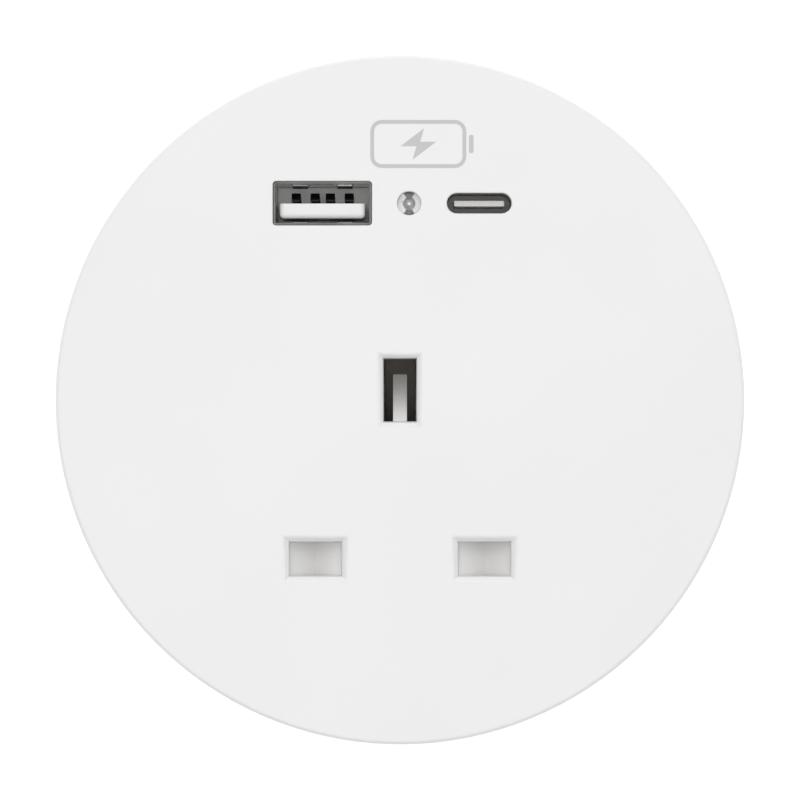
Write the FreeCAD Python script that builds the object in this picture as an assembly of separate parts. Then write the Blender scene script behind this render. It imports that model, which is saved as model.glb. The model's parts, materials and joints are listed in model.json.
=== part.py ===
import FreeCAD
import Part
import math
import os
from FreeCAD import Vector

os.makedirs("parts", exist_ok=True)

# In-desk power module, in millimetres. +Z points up out of the desk, the origin is on the tube's axis
# at the desk surface, +Y points from the outlet to the USB ports, +X is right as one looks at the face.

# Face and gasket
face_overhang = 5.55
rim_height = 3.2
rim_rounding = 0.5
web_thickness = 2.0
gasket_thickness = 0.8
gasket_inset = 1.0
boss_floor = 1.8

# Three-pin outlet: openings in the face, and the pins that they are made for
outlet_y = 1.3
pin_pitch = 22.2
earth_slot_width = 4.5
earth_slot_height = 8.5
power_slot_width = 7.05
power_slot_height = 4.7
power_slot_chamfer = 0.58
earth_slot_chamfer = 0.5
slot_draft = 0.15
earth_pin_length = 22.7
power_pin_length = 17.7
pin_gap = 4.1
pin_tip_clearance = 0.9

# USB ports and indicator
usb_a_x = -10.2
usb_a_width = 12.9
usb_a_height = 5.7
usb_a_corner = 0.45
usb_a_wall = 0.3
usb_a_inset = 0.4
usb_a_depth = 14.0
usb_a_back = 1.9
usb_a_tongue_width = 11.2
usb_a_tongue_height = 1.93
usb_a_tongue_offset = 0.61
usb_a_tongue_inset = 0.5
usb_a_tongue_rounding = 0.55
usb_a_contact_offsets = (-3.5, -1.0, 1.0, 3.5)
usb_a_contact_width = 1.2
usb_a_contact_rise = 1.5
usb_a_contact_sheet = 0.3
usb_a_contact_inset = 4.5
usb_a_tab_offset = 2.95
usb_a_tab_inset = 2.6
usb_a_tab_width = 2.0
usb_a_tab_length = 5.4
usb_a_tab_push = 0.5
usb_a_tab_sheet = 0.2
usb_c_x = 10.4
usb_c_opening_width = 8.5
usb_c_opening_height = 2.68
usb_c_wall = 0.25
usb_c_lip = 0.9
usb_c_depth = 8.6
usb_c_back = 1.3
usb_c_foot_size = 0.9
usb_c_tongue_width = 6.57
usb_c_tongue_height = 0.75
usb_c_tongue_inset = 0.6
usb_c_contact_pitch = 0.5
usb_c_contact_count = 12
usb_c_contact_width = 0.24
usb_c_contact_sheet = 0.06
led_x = 1.2
led_radius = 1.5
led_inset = 0.1
led_length = 5.3
led_flange = 0.3
led_flange_height = 1.0
lead_pitch = 1.27
lead_size = 0.5
lead_drop = 2.6
lead_step = 1.6
port_clearance = 0.05

# Threaded tube
neck_radius = 39.7
neck_length = 6.0
neck_relief = 0.5
gasket_bore_gap = 0.5
tube_wall = 2.1
thread_step = 0.4
thread_depth = 1.2
thread_pitch = 4.0
thread_crest_width = 1.2
thread_root_width = 2.4
thread_start = 0.6
thread_end_margin = 5.0
tube_depth = 55.0
keyway_width = 6.0
keyway_depth = 1.1
lug_top = -1.0
lug_thickness = 2.0
lug_radius = 3.4
lug_inset = 3.0
lug_angle_upper = 16.0
lug_angle_lower = -30.0
cover_boss_radius = 3.2
cover_boss_inset = 3.6
cover_boss_angle = 45.0
cover_boss_length = 10.0

# Bottom cover
cover_thickness = 3.0
cover_step = 0.1
cover_rounding = 0.8
spigot_height = 1.5
spigot_wall = 2.0
spigot_clearance = 0.2

# Clamp below the desk, drawn where it holds a 25 mm desk
desk_thickness = 25.0
washer_thickness = 3.0
washer_bore_clearance = 0.25
key_side_clearance = 0.25
key_depth_clearance = 0.3
nut_height = 12.0
nut_flange_height = 3.0
nut_wall = 2.85
nut_rib_height = 1.6
nut_rib_width = 5.0
nut_rib_count = 12
nut_radial_clearance = 0.25
nut_flank_clearance = 0.3
nut_rounding = 0.5

# Screws: shank radius, head radius and head height of each kind
face_screw = (1.25, 2.6, 1.8)
carrier_screw = (1.15, 2.4, 1.8)
cover_screw = (1.4, 2.8, 1.6)
inlet_screw = (1.4, 2.7, 1.8)
terminal_screw = (1.45, 2.3, 1.8)
screw_clearance = 0.05
screw_pass_clearance = 0.25
recess_width = 0.6
recess_share = 0.65
recess_depth = 0.9

# Shutter and the plate that it slides on
shutter_thickness = 3.4
shutter_gap = 0.2
shutter_travel = 6.7
shutter_half_width = 15.8
pad_overlap = 1.0
stem_half_width = 6.0
groove_half_width = 3.4
groove_depth = 1.4
ramp_width = 1.85
ramp_foot_y = 3.44
ramp_body = 1.7
ramp_land = 0.9
window_half_width = 2.0
window_wall = 1.05
post_half_width = 1.7
post_thickness = 1.3
post_gap = 0.2
peg_radius = 0.8
peg_length = 1.5
spring_radius = 1.35
spring_wire_radius = 0.22
spring_turns = 8
spring_end_gap = 0.05
keeper_thickness = 1.5
keeper_half_width = 17.0
keeper_top_y = 8.0
keeper_edge_gap = 0.6
rail_gap = 0.2
rail_width = 1.4
slot_clearance = 0.15
ramp_slot_clearance = 0.4
standoff_radius = 2.6
standoff_x = 11.5
standoff_upper_y = 1.0
standoff_lower_y = -11.5

# Contact carrier
carrier_bottom = -22.0
carrier_half_width = 23.2
carrier_stem_half_width = 8.0
carrier_top_y = 13.4
carrier_bar_top_y = -15.0
carrier_bar_bottom_y = -28.0
carrier_edge_gap = 1.0
carrier_lug_radius = 3.0
carrier_cover_thickness = 1.2
well_clearance = 0.3
well_half_width = 3.6
contact_sheet = 0.8
contact_flare = 0.55
contact_flare_height = 1.3
earth_mouth = -7.0
power_mouth = -5.8
earth_leaf_half_width = 4.1
power_leaf_half_width = 3.2
pillar_gap = 1.2
pillar_length = 5.4
pillar_width = 6.6
pillar_top = -12.0
pillar_bottom = -21.7
pillar_bore_radius = 1.6
pillar_bore_depth = 8.5
terminal_screw_z = -17.0

# Mains inlet in the bottom
inlet_y = -6.0
inlet_opening_width = 24.4
inlet_opening_height = 16.6
inlet_opening_corner = 4.2
inlet_wall = 1.9
inlet_recess_depth = 17.0
inlet_back = 2.0
inlet_flange_width = 50.0
inlet_flange_height = 22.6
inlet_flange_thickness = 2.0
inlet_screw_pitch = 40.0
inlet_pin_pitch = 14.0
inlet_earth_offset = 4.0
inlet_pin_width = 2.0
inlet_pin_height = 4.0
inlet_pin_inset = 2.5
inlet_earth_pin_inset = 1.0
inlet_clearance = 0.2
tab_width = 4.8
tab_thickness = 0.8
tab_length = 7.0
receptacle_width = 6.2
receptacle_thickness = 2.4
receptacle_height = 6.4
receptacle_slot_clearance = 0.1
receptacle_floor_gap = 0.4
barrel_radius = 2.0
barrel_length = 6.4
barrel_drop = 3.2

# Internal wires
wire_radius = 1.4
wire_core_radius = 0.85
wire_core_length = 5.6
wire_bore_clearance = 0.05
wire_start = 3.0
lead_wire_radius = 0.75
lead_wire_swing = 0.9
bend_share = 0.45

# Charger board and what stands on it
board_thickness = 1.6
board_half_width = 18.6
board_edge_gap = 0.5
board_top = -0.5
board_bottom = -44.0
board_clearance = 0.15
rail_grip = 1.5
rail_wall = 1.6
barrier_y = 13.7
barrier_thickness = 0.8
barrier_clearance = 0.3
barrier_hole_radius = 1.3
transformer_z = -24.0
core_width = 16.0
core_height = 14.0
core_depth = 5.0
core_leg = 2.2
core_centre_leg = 4.4
core_standoff = 4.3
winding_clearance = 0.2
winding_wrap = 2.3
bobbin_base = 1.6
input_capacitor_radius = 4.0
input_capacitor_height = 12.0
input_capacitor_x = 12.9
output_capacitor_radius = 3.15
output_capacitor_height = 11.0
output_capacitor_x = 10.4
output_capacitor_z = -11.8
capacitor_rounding = 0.5
safety_capacitor_radius = 3.6
safety_capacitor_thickness = 3.0
safety_capacitor_standoff = 0.6
safety_capacitor_z = -11.6
bridge_x = -11.0
bridge_z = -34.5
bridge_size = (6.5, 2.5, 4.7)
chip_x = -11.5
chip_z = -14.5
chip_size = (4.9, 1.5, 3.9)
fuse_x = 12.4
fuse_z = -33.6
fuse_radius = 4.0
fuse_height = 8.0

# Heights and places that follow from the sizes above
face_radius = neck_radius + face_overhang
relief_radius = neck_radius - neck_relief
thread_major_radius = neck_radius - thread_step
thread_root_radius = thread_major_radius - thread_depth
tube_bore_radius = thread_root_radius - tube_wall
keyway_floor = thread_root_radius - keyway_depth
lug_circle = tube_bore_radius - lug_inset
cover_boss_circle = tube_bore_radius - cover_boss_inset
cover_radius = thread_root_radius - cover_step
keeper_edge_radius = tube_bore_radius - keeper_edge_gap
carrier_edge_radius = tube_bore_radius - carrier_edge_gap
board_back_y = math.sqrt(tube_bore_radius**2 - board_half_width**2) - board_edge_gap
board_face_y = board_back_y - board_thickness
port_row_y = board_face_y - port_clearance - usb_a_height / 2
nut_bore = thread_major_radius + nut_radial_clearance
nut_body_radius = nut_bore + nut_wall
nut_flange_radius = nut_body_radius + nut_rib_height
washer_radius = nut_flange_radius
gasket_top = gasket_thickness
face_top = gasket_top + rim_height
web_bottom = face_top - web_thickness
boss_top = face_top - boss_floor
cover_top = -tube_depth
base_z = cover_top - cover_thickness
power_x = pin_pitch / 2
power_y = outlet_y - pin_pitch
earth_slot_bottom = outlet_y - earth_slot_height / 2
shutter_top = web_bottom - shutter_gap
shutter_bottom = shutter_top - shutter_thickness
shutter_middle = (shutter_top + shutter_bottom) / 2
keeper_top = shutter_bottom - shutter_gap
keeper_bottom = keeper_top - keeper_thickness
carrier_top = keeper_bottom
carrier_cover_bottom = carrier_bottom - carrier_cover_thickness
washer_top = -desk_thickness
nut_top = washer_top - washer_thickness
nut_bottom = nut_top - nut_height
thread_top = -neck_length - thread_start
thread_bottom = -tube_depth + thread_end_margin
inlet_floor = base_z + inlet_recess_depth
inlet_top = inlet_floor + inlet_back
line_pin_y = inlet_y - inlet_earth_offset / 2
earth_pin_y = inlet_y + inlet_earth_offset / 2
tab_top = inlet_top + tab_length
usb_a_mouth = face_top - usb_a_inset
usb_a_end = usb_a_mouth - usb_a_depth
usb_c_mouth = face_top - usb_c_lip
usb_c_end = usb_c_mouth - usb_c_depth
fine = 0.01
reach = 100.0


# Basic solids
def box(x0, x1, y0, y1, z0, z1):
    return Part.makeBox(x1 - x0, y1 - y0, z1 - z0, Vector(x0, y0, z0))


def cylinder(radius, z0, z1, x=0.0, y=0.0):
    return Part.makeCylinder(radius, z1 - z0, Vector(x, y, z0))


def ring(inner, outer, z0, z1):
    return cylinder(outer, z0, z1).cut(cylinder(inner, z0, z1))


def rod(radius, start, direction, length):
    return Part.makeCylinder(radius, length, start, direction)


def rounded_box(x, y, width, height, corner, z0, z1):
    block = box(x - width / 2, x + width / 2, y - height / 2, y + height / 2, z0, z1)
    upright = [e for e in block.Edges if abs(e.BoundBox.ZLength - (z1 - z0)) < fine]
    return block.makeFillet(corner, upright)


def stadium(x, y, width, height, z0, z1):
    half = (width - height) / 2
    bar = box(x - half, x + half, y - height / 2, y + height / 2, z0, z1)
    ends = [cylinder(height / 2, z0, z1, x + side * half, y) for side in (-1, 1)]
    return joined(bar, *ends)


def prism_along_x(points, x0, x1):
    outline = [Vector(x0, y, z) for y, z in points]
    face = Part.Face(Part.makePolygon(outline + outline[:1]))
    return face.extrude(Vector(x1 - x0, 0, 0))


def prism_along_y(points, y0, y1):
    outline = [Vector(x, y0, z) for x, z in points]
    face = Part.Face(Part.makePolygon(outline + outline[:1]))
    return face.extrude(Vector(0, y1 - y0, 0))


def prism_along_z(points, z0, z1):
    outline = [Vector(x, y, z0) for x, y in points]
    face = Part.Face(Part.makePolygon(outline + outline[:1]))
    return face.extrude(Vector(0, 0, z1 - z0))


def joined(first, *others):
    return first.fuse(list(others)).removeSplitter()


def without(shape, *tools):
    return shape.cut(list(tools)).removeSplitter()


def turned(shape, degrees):
    copy = shape.copy()
    copy.rotate(Vector(0, 0, 0), Vector(0, 0, 1), degrees)
    return copy


def moved(shape, x, y, z=0.0):
    copy = shape.copy()
    copy.translate(Vector(x, y, z))
    return copy


def mirrored(shape):
    return shape.mirror(Vector(0, 0, 0), Vector(1, 0, 0))


def both_sides(shape):
    return [shape, mirrored(shape)]


def circle_edges(shape, radius, z):
    found = []
    for edge in shape.Edges:
        flat = edge.BoundBox.ZLength < fine and abs(edge.BoundBox.ZMin - z) < fine
        if flat and abs(edge.BoundBox.XLength - 2 * radius) < fine:
            found.append(edge)
    return found


def save(node, shape):
    solids = shape if isinstance(shape, list) else [shape]
    result = solids[0] if len(solids) == 1 else Part.makeCompound(solids)
    result.exportStep("parts/" + node + ".step")
    volume = sum(solid.Volume for solid in solids)
    count = sum(len(solid.Solids) for solid in solids)
    print(node, "solids", count, "valid", result.isValid(), "volume", round(volume, 1))


def screw(kind, length, countersunk=False):
    """A screw that points up, with its head below z = 0."""
    shank_radius, head_radius, head_height = kind
    if countersunk:
        head = Part.makeCone(head_radius, shank_radius, head_height, Vector(0, 0, -head_height))
    else:
        head = cylinder(head_radius, -head_height, 0)
    bar = head_radius * recess_share
    depth = -head_height + recess_depth
    slots = [box(-bar, bar, -recess_width / 2, recess_width / 2, -head_height, depth)]
    slots.append(turned(slots[0], 90))
    return without(joined(head, cylinder(shank_radius, -fine, length)), *slots)


def four_places(x, upper_y, lower_y):
    return [(x, upper_y), (-x, upper_y), (x, lower_y), (-x, lower_y)]


def on_circle(radius, degrees):
    return radius * math.cos(math.radians(degrees)), radius * math.sin(math.radians(degrees))


def carrier_holes(z0, z1):
    radius = carrier_screw[0] + screw_pass_clearance
    return [cylinder(radius, z0, z1, x, y) for x, y in standoffs]


lug_angles = (lug_angle_upper, 180 - lug_angle_upper, lug_angle_lower, 180 - lug_angle_lower)
cover_angles = [cover_boss_angle + 90 * quarter for quarter in range(4)]
standoffs = four_places(standoff_x, standoff_upper_y, standoff_lower_y)


# Face
def slot_with_chamfer(x, y, width, height, chamfer):
    """A slot through the face whose edge slopes all round and whose walls draw in downwards."""
    shaft_top = face_top - chamfer
    below = web_bottom - fine
    drawn_in = slot_draft * (shaft_top - below) / (shaft_top - web_bottom)
    wires = []
    for wider, z in ((chamfer + fine, face_top + fine), (0, shaft_top), (-drawn_in, below)):
        u = width / 2 + wider
        v = height / 2 + wider
        points = [Vector(x - u, y - v, z), Vector(x + u, y - v, z), Vector(x + u, y + v, z)]
        points.append(Vector(x - u, y + v, z))
        wires.append(Part.makePolygon(points + points[:1]))
    return Part.makeLoft(wires, True, True)


def make_faceplate():
    disc = cylinder(face_radius, gasket_top, face_top)
    disc = disc.makeFillet(rim_rounding, circle_edges(disc, face_radius, face_top))
    disc = disc.cut(cylinder(tube_bore_radius, gasket_top, web_bottom))
    standing = [cylinder(standoff_radius, keeper_top, web_bottom, x, y) for x, y in standoffs]
    for angle in lug_angles:
        x, y = on_circle(lug_circle, angle)
        standing.append(cylinder(lug_radius - 0.4, lug_top, web_bottom, x, y).common(
            cylinder(tube_bore_radius - 0.3, lug_top, web_bottom)))
    disc = joined(disc, *standing)
    openings = []
    for x in (-power_x, power_x):
        openings.append(
            slot_with_chamfer(x, power_y, power_slot_width, power_slot_height, power_slot_chamfer))
    openings.append(
        slot_with_chamfer(0, outlet_y, earth_slot_width, earth_slot_height, earth_slot_chamfer))
    gap = 2 * port_clearance
    openings.append(
        rounded_box(usb_a_x, port_row_y, usb_a_width + gap, usb_a_height + gap, usb_a_corner, web_bottom - 1,
                    reach))
    openings.append(
        stadium(usb_c_x, port_row_y, usb_c_opening_width, usb_c_opening_height, web_bottom - 1, reach))
    openings.append(
        stadium(usb_c_x, port_row_y, usb_c_opening_width + 2 * usb_c_wall + gap,
                usb_c_opening_height + 2 * usb_c_wall + gap, web_bottom - 1, usb_c_mouth))
    openings.append(cylinder(led_radius + port_clearance, web_bottom - 1, reach, led_x, port_row_y))
    pilot = face_screw[0] + screw_clearance
    for angle in lug_angles:
        x, y = on_circle(lug_circle, angle)
        openings.append(cylinder(pilot, lug_top, boss_top, x, y))
    pilot = carrier_screw[0] + screw_clearance
    for x, y in standoffs:
        openings.append(cylinder(pilot, keeper_top, boss_top, x, y))
    return without(disc, *openings)


def make_gasket():
    return ring(neck_radius + gasket_bore_gap, face_radius - gasket_inset, 0, gasket_top)


# Threaded tube
def helical_ridge(inner, outer, inner_width, outer_width, z_start, z_end):
    """A right-hand ridge whose middle passes the +X side at z_start."""
    turns = (z_end - z_start) / thread_pitch
    helix = Part.makeHelix(thread_pitch, thread_pitch * turns, (inner + outer) / 2)
    helix.translate(Vector(0, 0, z_start))
    corners = [(inner, -inner_width / 2), (outer, -outer_width / 2)]
    corners += [(outer, outer_width / 2), (inner, inner_width / 2)]
    points = [Vector(r, 0, z_start + dz) for r, dz in corners]
    profile = Part.makePolygon(points + points[:1])
    return Part.Wire(helix.Edges).makePipeShell([profile], True, True)


thread_slope = (thread_root_width - thread_crest_width) / (thread_major_radius - thread_root_radius)
ridge_foot = 0.4


def tube_thread():
    root = thread_root_radius - ridge_foot
    width = thread_root_width + ridge_foot * thread_slope
    start = thread_bottom - thread_pitch
    ridge = helical_ridge(root, thread_major_radius, width, thread_crest_width, start,
                          thread_top + thread_pitch)
    return ridge.common(cylinder(neck_radius, thread_bottom, thread_top))


def make_housing():
    body = joined(cylinder(relief_radius, 0, gasket_top),
                  cylinder(neck_radius, -neck_length, 0),
                  cylinder(thread_root_radius, -tube_depth, -neck_length))
    body = body.fuse(tube_thread())
    body = body.cut(cylinder(tube_bore_radius, -tube_depth, gasket_top))
    keyway = box(keyway_floor, neck_radius + 1, -keyway_width / 2, keyway_width / 2,
                 -tube_depth, -neck_length)
    body = body.cut(both_sides(keyway))
    inside = cylinder(tube_bore_radius + 0.5, -tube_depth, gasket_top)
    added = []
    holes = []
    for angle in lug_angles:
        lug = joined(cylinder(lug_radius, lug_top - lug_thickness, lug_top, lug_circle, 0),
                     box(lug_circle, tube_bore_radius + 1, -lug_radius, lug_radius,
                         lug_top - lug_thickness, lug_top))
        added.append(turned(lug.common(inside), angle))
        x, y = on_circle(lug_circle, angle)
        pass_radius = face_screw[0] + screw_pass_clearance
        holes.append(cylinder(pass_radius, lug_top - lug_thickness - 1, lug_top + 1, x, y))
    for angle in cover_angles:
        boss = joined(cylinder(cover_boss_radius, cover_top, cover_top + cover_boss_length,
                               cover_boss_circle, 0),
                      box(cover_boss_circle, tube_bore_radius + 1, -cover_boss_radius, cover_boss_radius,
                          cover_top, cover_top + cover_boss_length))
        added.append(turned(boss.common(inside), angle))
        x, y = on_circle(cover_boss_circle, angle)
        pilot = cover_screw[0] + screw_clearance
        holes.append(cylinder(pilot, cover_top - 1, cover_top + cover_boss_length - 1, x, y))
    rail = box(board_half_width - rail_grip, tube_bore_radius, board_face_y - rail_wall,
               board_back_y + rail_wall, board_bottom - rail_wall, board_top)
    rail = rail.common(inside)
    edge = board_half_width + board_clearance
    groove = box(board_half_width - 2 * rail_grip, edge, board_face_y - board_clearance,
                 board_back_y + board_clearance, board_bottom, board_top + 1)
    added += both_sides(rail.cut(groove))
    return without(joined(body, *added), *holes)


# Bottom cover
def inlet_outline(clearance, z0, z1):
    """The inlet's opening: a box with its two earth-side corners cut off."""
    x = inlet_opening_width / 2 + clearance
    y0 = inlet_y - inlet_opening_height / 2 - clearance
    y1 = inlet_y + inlet_opening_height / 2 + clearance
    corner = inlet_opening_corner
    points = [(-x, y0), (x, y0), (x, y1 - corner), (x - corner, y1), (corner - x, y1), (-x, y1 - corner)]
    return prism_along_z(points, z0, z1)


def inlet_screw_places():
    return [(side * inlet_screw_pitch / 2, inlet_y) for side in (-1, 1)]


def make_rear_cover():
    disc = cylinder(cover_radius, base_z, cover_top)
    disc = disc.makeFillet(cover_rounding, circle_edges(disc, cover_radius, base_z))
    outer = tube_bore_radius - spigot_clearance
    spigot = ring(outer - spigot_wall, outer, cover_top - fine, cover_top + spigot_height)
    gaps = []
    for angle in cover_angles:
        x, y = on_circle(cover_boss_circle, angle)
        gaps.append(cylinder(cover_boss_radius + 0.8, cover_top, cover_top + spigot_height, x, y))
        corner = box(0, reach, -cover_boss_radius - 0.8, cover_boss_radius + 0.8, cover_top,
                     cover_top + spigot_height)
        gaps.append(turned(moved(corner, cover_boss_circle, 0), angle))
    disc = joined(disc, spigot.cut(gaps))
    holes = [inlet_outline(inlet_clearance, base_z - 1, cover_top + 1)]
    shank, head, height = cover_screw
    for angle in cover_angles:
        x, y = on_circle(cover_boss_circle, angle)
        holes.append(cylinder(shank + screw_pass_clearance, base_z - 1, cover_top + 1, x, y))
        sink = Part.makeCone(head + screw_pass_clearance, shank + screw_pass_clearance, height,
                             Vector(x, y, base_z))
        holes.append(sink)
    for x, y in inlet_screw_places():
        holes.append(cylinder(inlet_screw[0] + screw_clearance, base_z + 0.6, cover_top + 1, x, y))
    return without(disc, *holes)


# Clamp
def make_washer():
    bore = neck_radius + washer_bore_clearance
    body = ring(bore, washer_radius, nut_top, washer_top)
    half = keyway_width / 2 - key_side_clearance
    key = box(keyway_floor + key_depth_clearance, bore + 1, -half, half, nut_top, washer_top)
    return joined(body, *both_sides(key))


def make_nut():
    flange_bottom = nut_top - nut_flange_height
    body = cylinder(nut_body_radius, nut_bottom, flange_bottom + fine)
    flange = cylinder(nut_flange_radius, flange_bottom, nut_top)
    flange = flange.makeFillet(nut_rounding, circle_edges(flange, nut_flange_radius, flange_bottom))
    half = nut_rib_width / 2
    rib = box(nut_bore + 1, reach, -half, half, nut_bottom, flange_bottom + fine)
    rib = rib.common(cylinder(nut_flange_radius, nut_bottom, nut_top))
    upright = [e for e in rib.Edges if e.BoundBox.XMin > nut_body_radius + 0.3
               and e.BoundBox.ZLength > nut_height / 2]
    rib = rib.makeFillet(nut_rounding, upright)
    ribs = [turned(rib, 360 / nut_rib_count * step) for step in range(nut_rib_count)]
    blank = joined(body, flange, *ribs)
    blank = blank.cut(cylinder(nut_bore, nut_bottom, nut_top))
    tip = thread_root_radius + nut_radial_clearance
    root = nut_bore + ridge_foot
    gap_width = thread_pitch - thread_root_width + thread_slope * nut_radial_clearance
    tip_width = gap_width - 2 * nut_flank_clearance
    root_width = tip_width + thread_slope * (root - tip)
    start = thread_bottom - thread_pitch + thread_pitch / 2
    ridge = helical_ridge(tip, root, tip_width, root_width, start, thread_top + thread_pitch)
    ridge = ridge.common(cylinder(nut_body_radius, nut_bottom, nut_top))
    return blank.fuse(ridge)


# Fasteners
def make_face_screws():
    length = boss_top - (lug_top - lug_thickness) - 0.3
    shape = moved(screw(face_screw, length), 0, 0, lug_top - lug_thickness)
    return [moved(shape, *on_circle(lug_circle, angle)) for angle in lug_angles]


def make_carrier_screws():
    length = boss_top - carrier_cover_bottom - 0.3
    shape = moved(screw(carrier_screw, length), 0, 0, carrier_cover_bottom)
    return [moved(shape, x, y) for x, y in standoffs]


def make_cover_screws():
    head_top = base_z + cover_screw[2] + 0.15
    length = cover_top + cover_boss_length - 1 - head_top - 0.5
    shape = moved(screw(cover_screw, length, countersunk=True), 0, 0, head_top)
    return [moved(shape, *on_circle(cover_boss_circle, angle)) for angle in cover_angles]


def make_inlet_screws():
    length = cover_top + inlet_flange_thickness - (base_z + 0.6) - 0.2
    shape = screw(inlet_screw, length)
    shape.rotate(Vector(0, 0, 0), Vector(1, 0, 0), 180)
    shape = moved(shape, 0, 0, cover_top + inlet_flange_thickness)
    return [moved(shape, x, y) for x, y in inlet_screw_places()]


# Shutter
pad_top_y = power_y + power_slot_height / 2 + pad_overlap
pad_bottom_y = power_y - power_slot_height / 2 - pad_overlap
stem_top_y = earth_slot_bottom - 2 * slot_clearance
window_top_y = stem_top_y - window_wall
post_bottom_y = pad_top_y + window_wall + post_gap
post_top_y = post_bottom_y + post_thickness


def make_shutter():
    stem = box(-stem_half_width, stem_half_width, pad_top_y - fine, stem_top_y,
               shutter_bottom, shutter_top)
    pads = box(-shutter_half_width, shutter_half_width, pad_bottom_y, pad_top_y,
               shutter_bottom, shutter_top)
    body = joined(stem, pads)
    window = box(-window_half_width, window_half_width, pad_top_y + window_wall, window_top_y,
                 shutter_bottom - 1, shutter_top + 1)
    groove = [(power_x - groove_half_width, shutter_top + fine), (power_x, shutter_top - groove_depth)]
    groove.append((power_x + groove_half_width, shutter_top + fine))
    groove = prism_along_y(groove, pad_bottom_y - 1, pad_top_y + 1)
    body = without(body, window, *both_sides(groove))
    ramp_head_z = shutter_top - slot_clearance
    ramp_foot_z = ramp_head_z - (ramp_foot_y - earth_slot_bottom)
    heel_y = ramp_foot_y - ramp_body
    outline = [(stem_top_y - ramp_land, ramp_head_z), (earth_slot_bottom, ramp_head_z)]
    outline += [(ramp_foot_y, ramp_foot_z), (heel_y, ramp_foot_z)]
    outline += [(heel_y - (shutter_bottom - ramp_foot_z), shutter_bottom)]
    outline += [(stem_top_y - ramp_land, shutter_bottom)]
    ramp = prism_along_x(outline, -ramp_width / 2, ramp_width / 2)
    peg = rod(peg_radius, Vector(0, window_top_y + fine, shutter_middle), Vector(0, -1, 0), peg_length)
    return joined(body, ramp, peg)


def make_spring():
    length = window_top_y - post_top_y - 2 * spring_end_gap - 2 * spring_wire_radius
    helix = Part.makeHelix(length / spring_turns, length, spring_radius)
    start = Vector(spring_radius, 0, 0)
    ring_wire = Part.Wire([Part.Circle(start, Vector(0, 1, 0), spring_wire_radius).toShape()])
    coil = Part.Wire(helix.Edges).makePipeShell([ring_wire], True, True)
    coil.rotate(Vector(0, 0, 0), Vector(1, 0, 0), -90)
    return moved(coil, 0, post_top_y + spring_end_gap + spring_wire_radius, shutter_middle)


def power_slot(clearance, z0, z1):
    half_width = power_slot_width / 2 + clearance
    half_height = power_slot_height / 2 + clearance
    slot = box(power_x - half_width, power_x + half_width,
               power_y - half_height, power_y + half_height, z0, z1)
    return both_sides(slot)


def earth_slot(clearance, z0, z1):
    half_width = earth_slot_width / 2 + clearance
    half_height = earth_slot_height / 2 + clearance
    return box(-half_width, half_width, outlet_y - half_height, outlet_y + half_height, z0, z1)


def ramp_slot(z0, z1):
    half = ramp_width / 2 + ramp_slot_clearance
    return box(-half, half, stem_top_y - ramp_land - shutter_travel - ramp_slot_clearance,
               ramp_foot_y + ramp_slot_clearance, z0, z1)


def make_keeper():
    bottom_y = pad_bottom_y - shutter_travel - 0.6
    plate = box(-keeper_half_width, keeper_half_width, bottom_y, keeper_top_y, keeper_bottom, keeper_top)
    plate = plate.common(cylinder(keeper_edge_radius, keeper_bottom, keeper_top))
    inner = stem_half_width + rail_gap
    rail = box(inner, inner + rail_width, pad_top_y + window_wall, stem_top_y, keeper_top - fine,
               web_bottom - shutter_gap)
    post = box(-post_half_width, post_half_width, post_bottom_y, post_top_y, keeper_top - fine,
               shutter_top - shutter_gap)
    peg = rod(peg_radius, Vector(0, post_top_y - fine, shutter_middle), Vector(0, 1, 0), peg_length)
    plate = joined(plate, post, peg, *both_sides(rail))
    holes = power_slot(slot_clearance, keeper_bottom - 1, keeper_top + 1)
    holes.append(earth_slot(slot_clearance, keeper_bottom - 1, keeper_top + 1))
    holes.append(ramp_slot(keeper_bottom - 1, keeper_top + 1))
    holes += carrier_holes(keeper_bottom - 1, keeper_top + 1)
    return without(plate, *holes)


# Contacts and their carrier
def contact_body(leaf_half_width, mouth, strap_top):
    """One contact, its pin gap along Y and its terminal towards +X."""
    inner = pin_gap / 2
    outer = inner + contact_sheet
    flare_foot = mouth - contact_flare_height
    leaf = [(inner, strap_top), (inner, flare_foot), (inner + contact_flare, mouth)]
    leaf += [(outer + contact_flare, mouth), (outer, flare_foot), (outer, strap_top - contact_sheet)]
    leaf += [(inner, strap_top - contact_sheet)]
    upper = prism_along_x(leaf, -leaf_half_width, leaf_half_width)
    lower = upper.mirror(Vector(0, 0, 0), Vector(0, 1, 0))
    pillar_start = leaf_half_width + pillar_gap
    strap = box(-leaf_half_width, leaf_half_width, -outer, outer, strap_top - contact_sheet, strap_top)
    neck = box(leaf_half_width - fine, pillar_start + fine, -outer, outer,
               strap_top - contact_sheet, strap_top)
    pillar = box(pillar_start, pillar_start + pillar_length, -pillar_width / 2, pillar_width / 2,
                 pillar_bottom, pillar_top)
    x = pillar_start + pillar_length / 2
    bore = cylinder(pillar_bore_radius, pillar_bottom - 1, pillar_bottom + pillar_bore_depth, x, 0)
    thread = rod(terminal_screw[0] + screw_clearance, Vector(x, 0, terminal_screw_z), Vector(0, -1, 0),
                 pillar_width)
    return without(joined(upper, lower, strap, neck, pillar), bore, thread)


def well(leaf_half_width, mouth):
    """The room for a contact, with a hole through which its screw is reached."""
    end = leaf_half_width + pillar_gap + pillar_length + well_clearance
    room = box(-leaf_half_width - well_clearance, end, -well_half_width, well_half_width, carrier_bottom - 1,
               mouth + well_clearance)
    x = leaf_half_width + pillar_gap + pillar_length / 2
    access = rod(terminal_screw[1] + well_clearance, Vector(x, 0, terminal_screw_z), Vector(0, -1, 0),
                 carrier_stem_half_width + 2)
    return joined(room, access)


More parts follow.
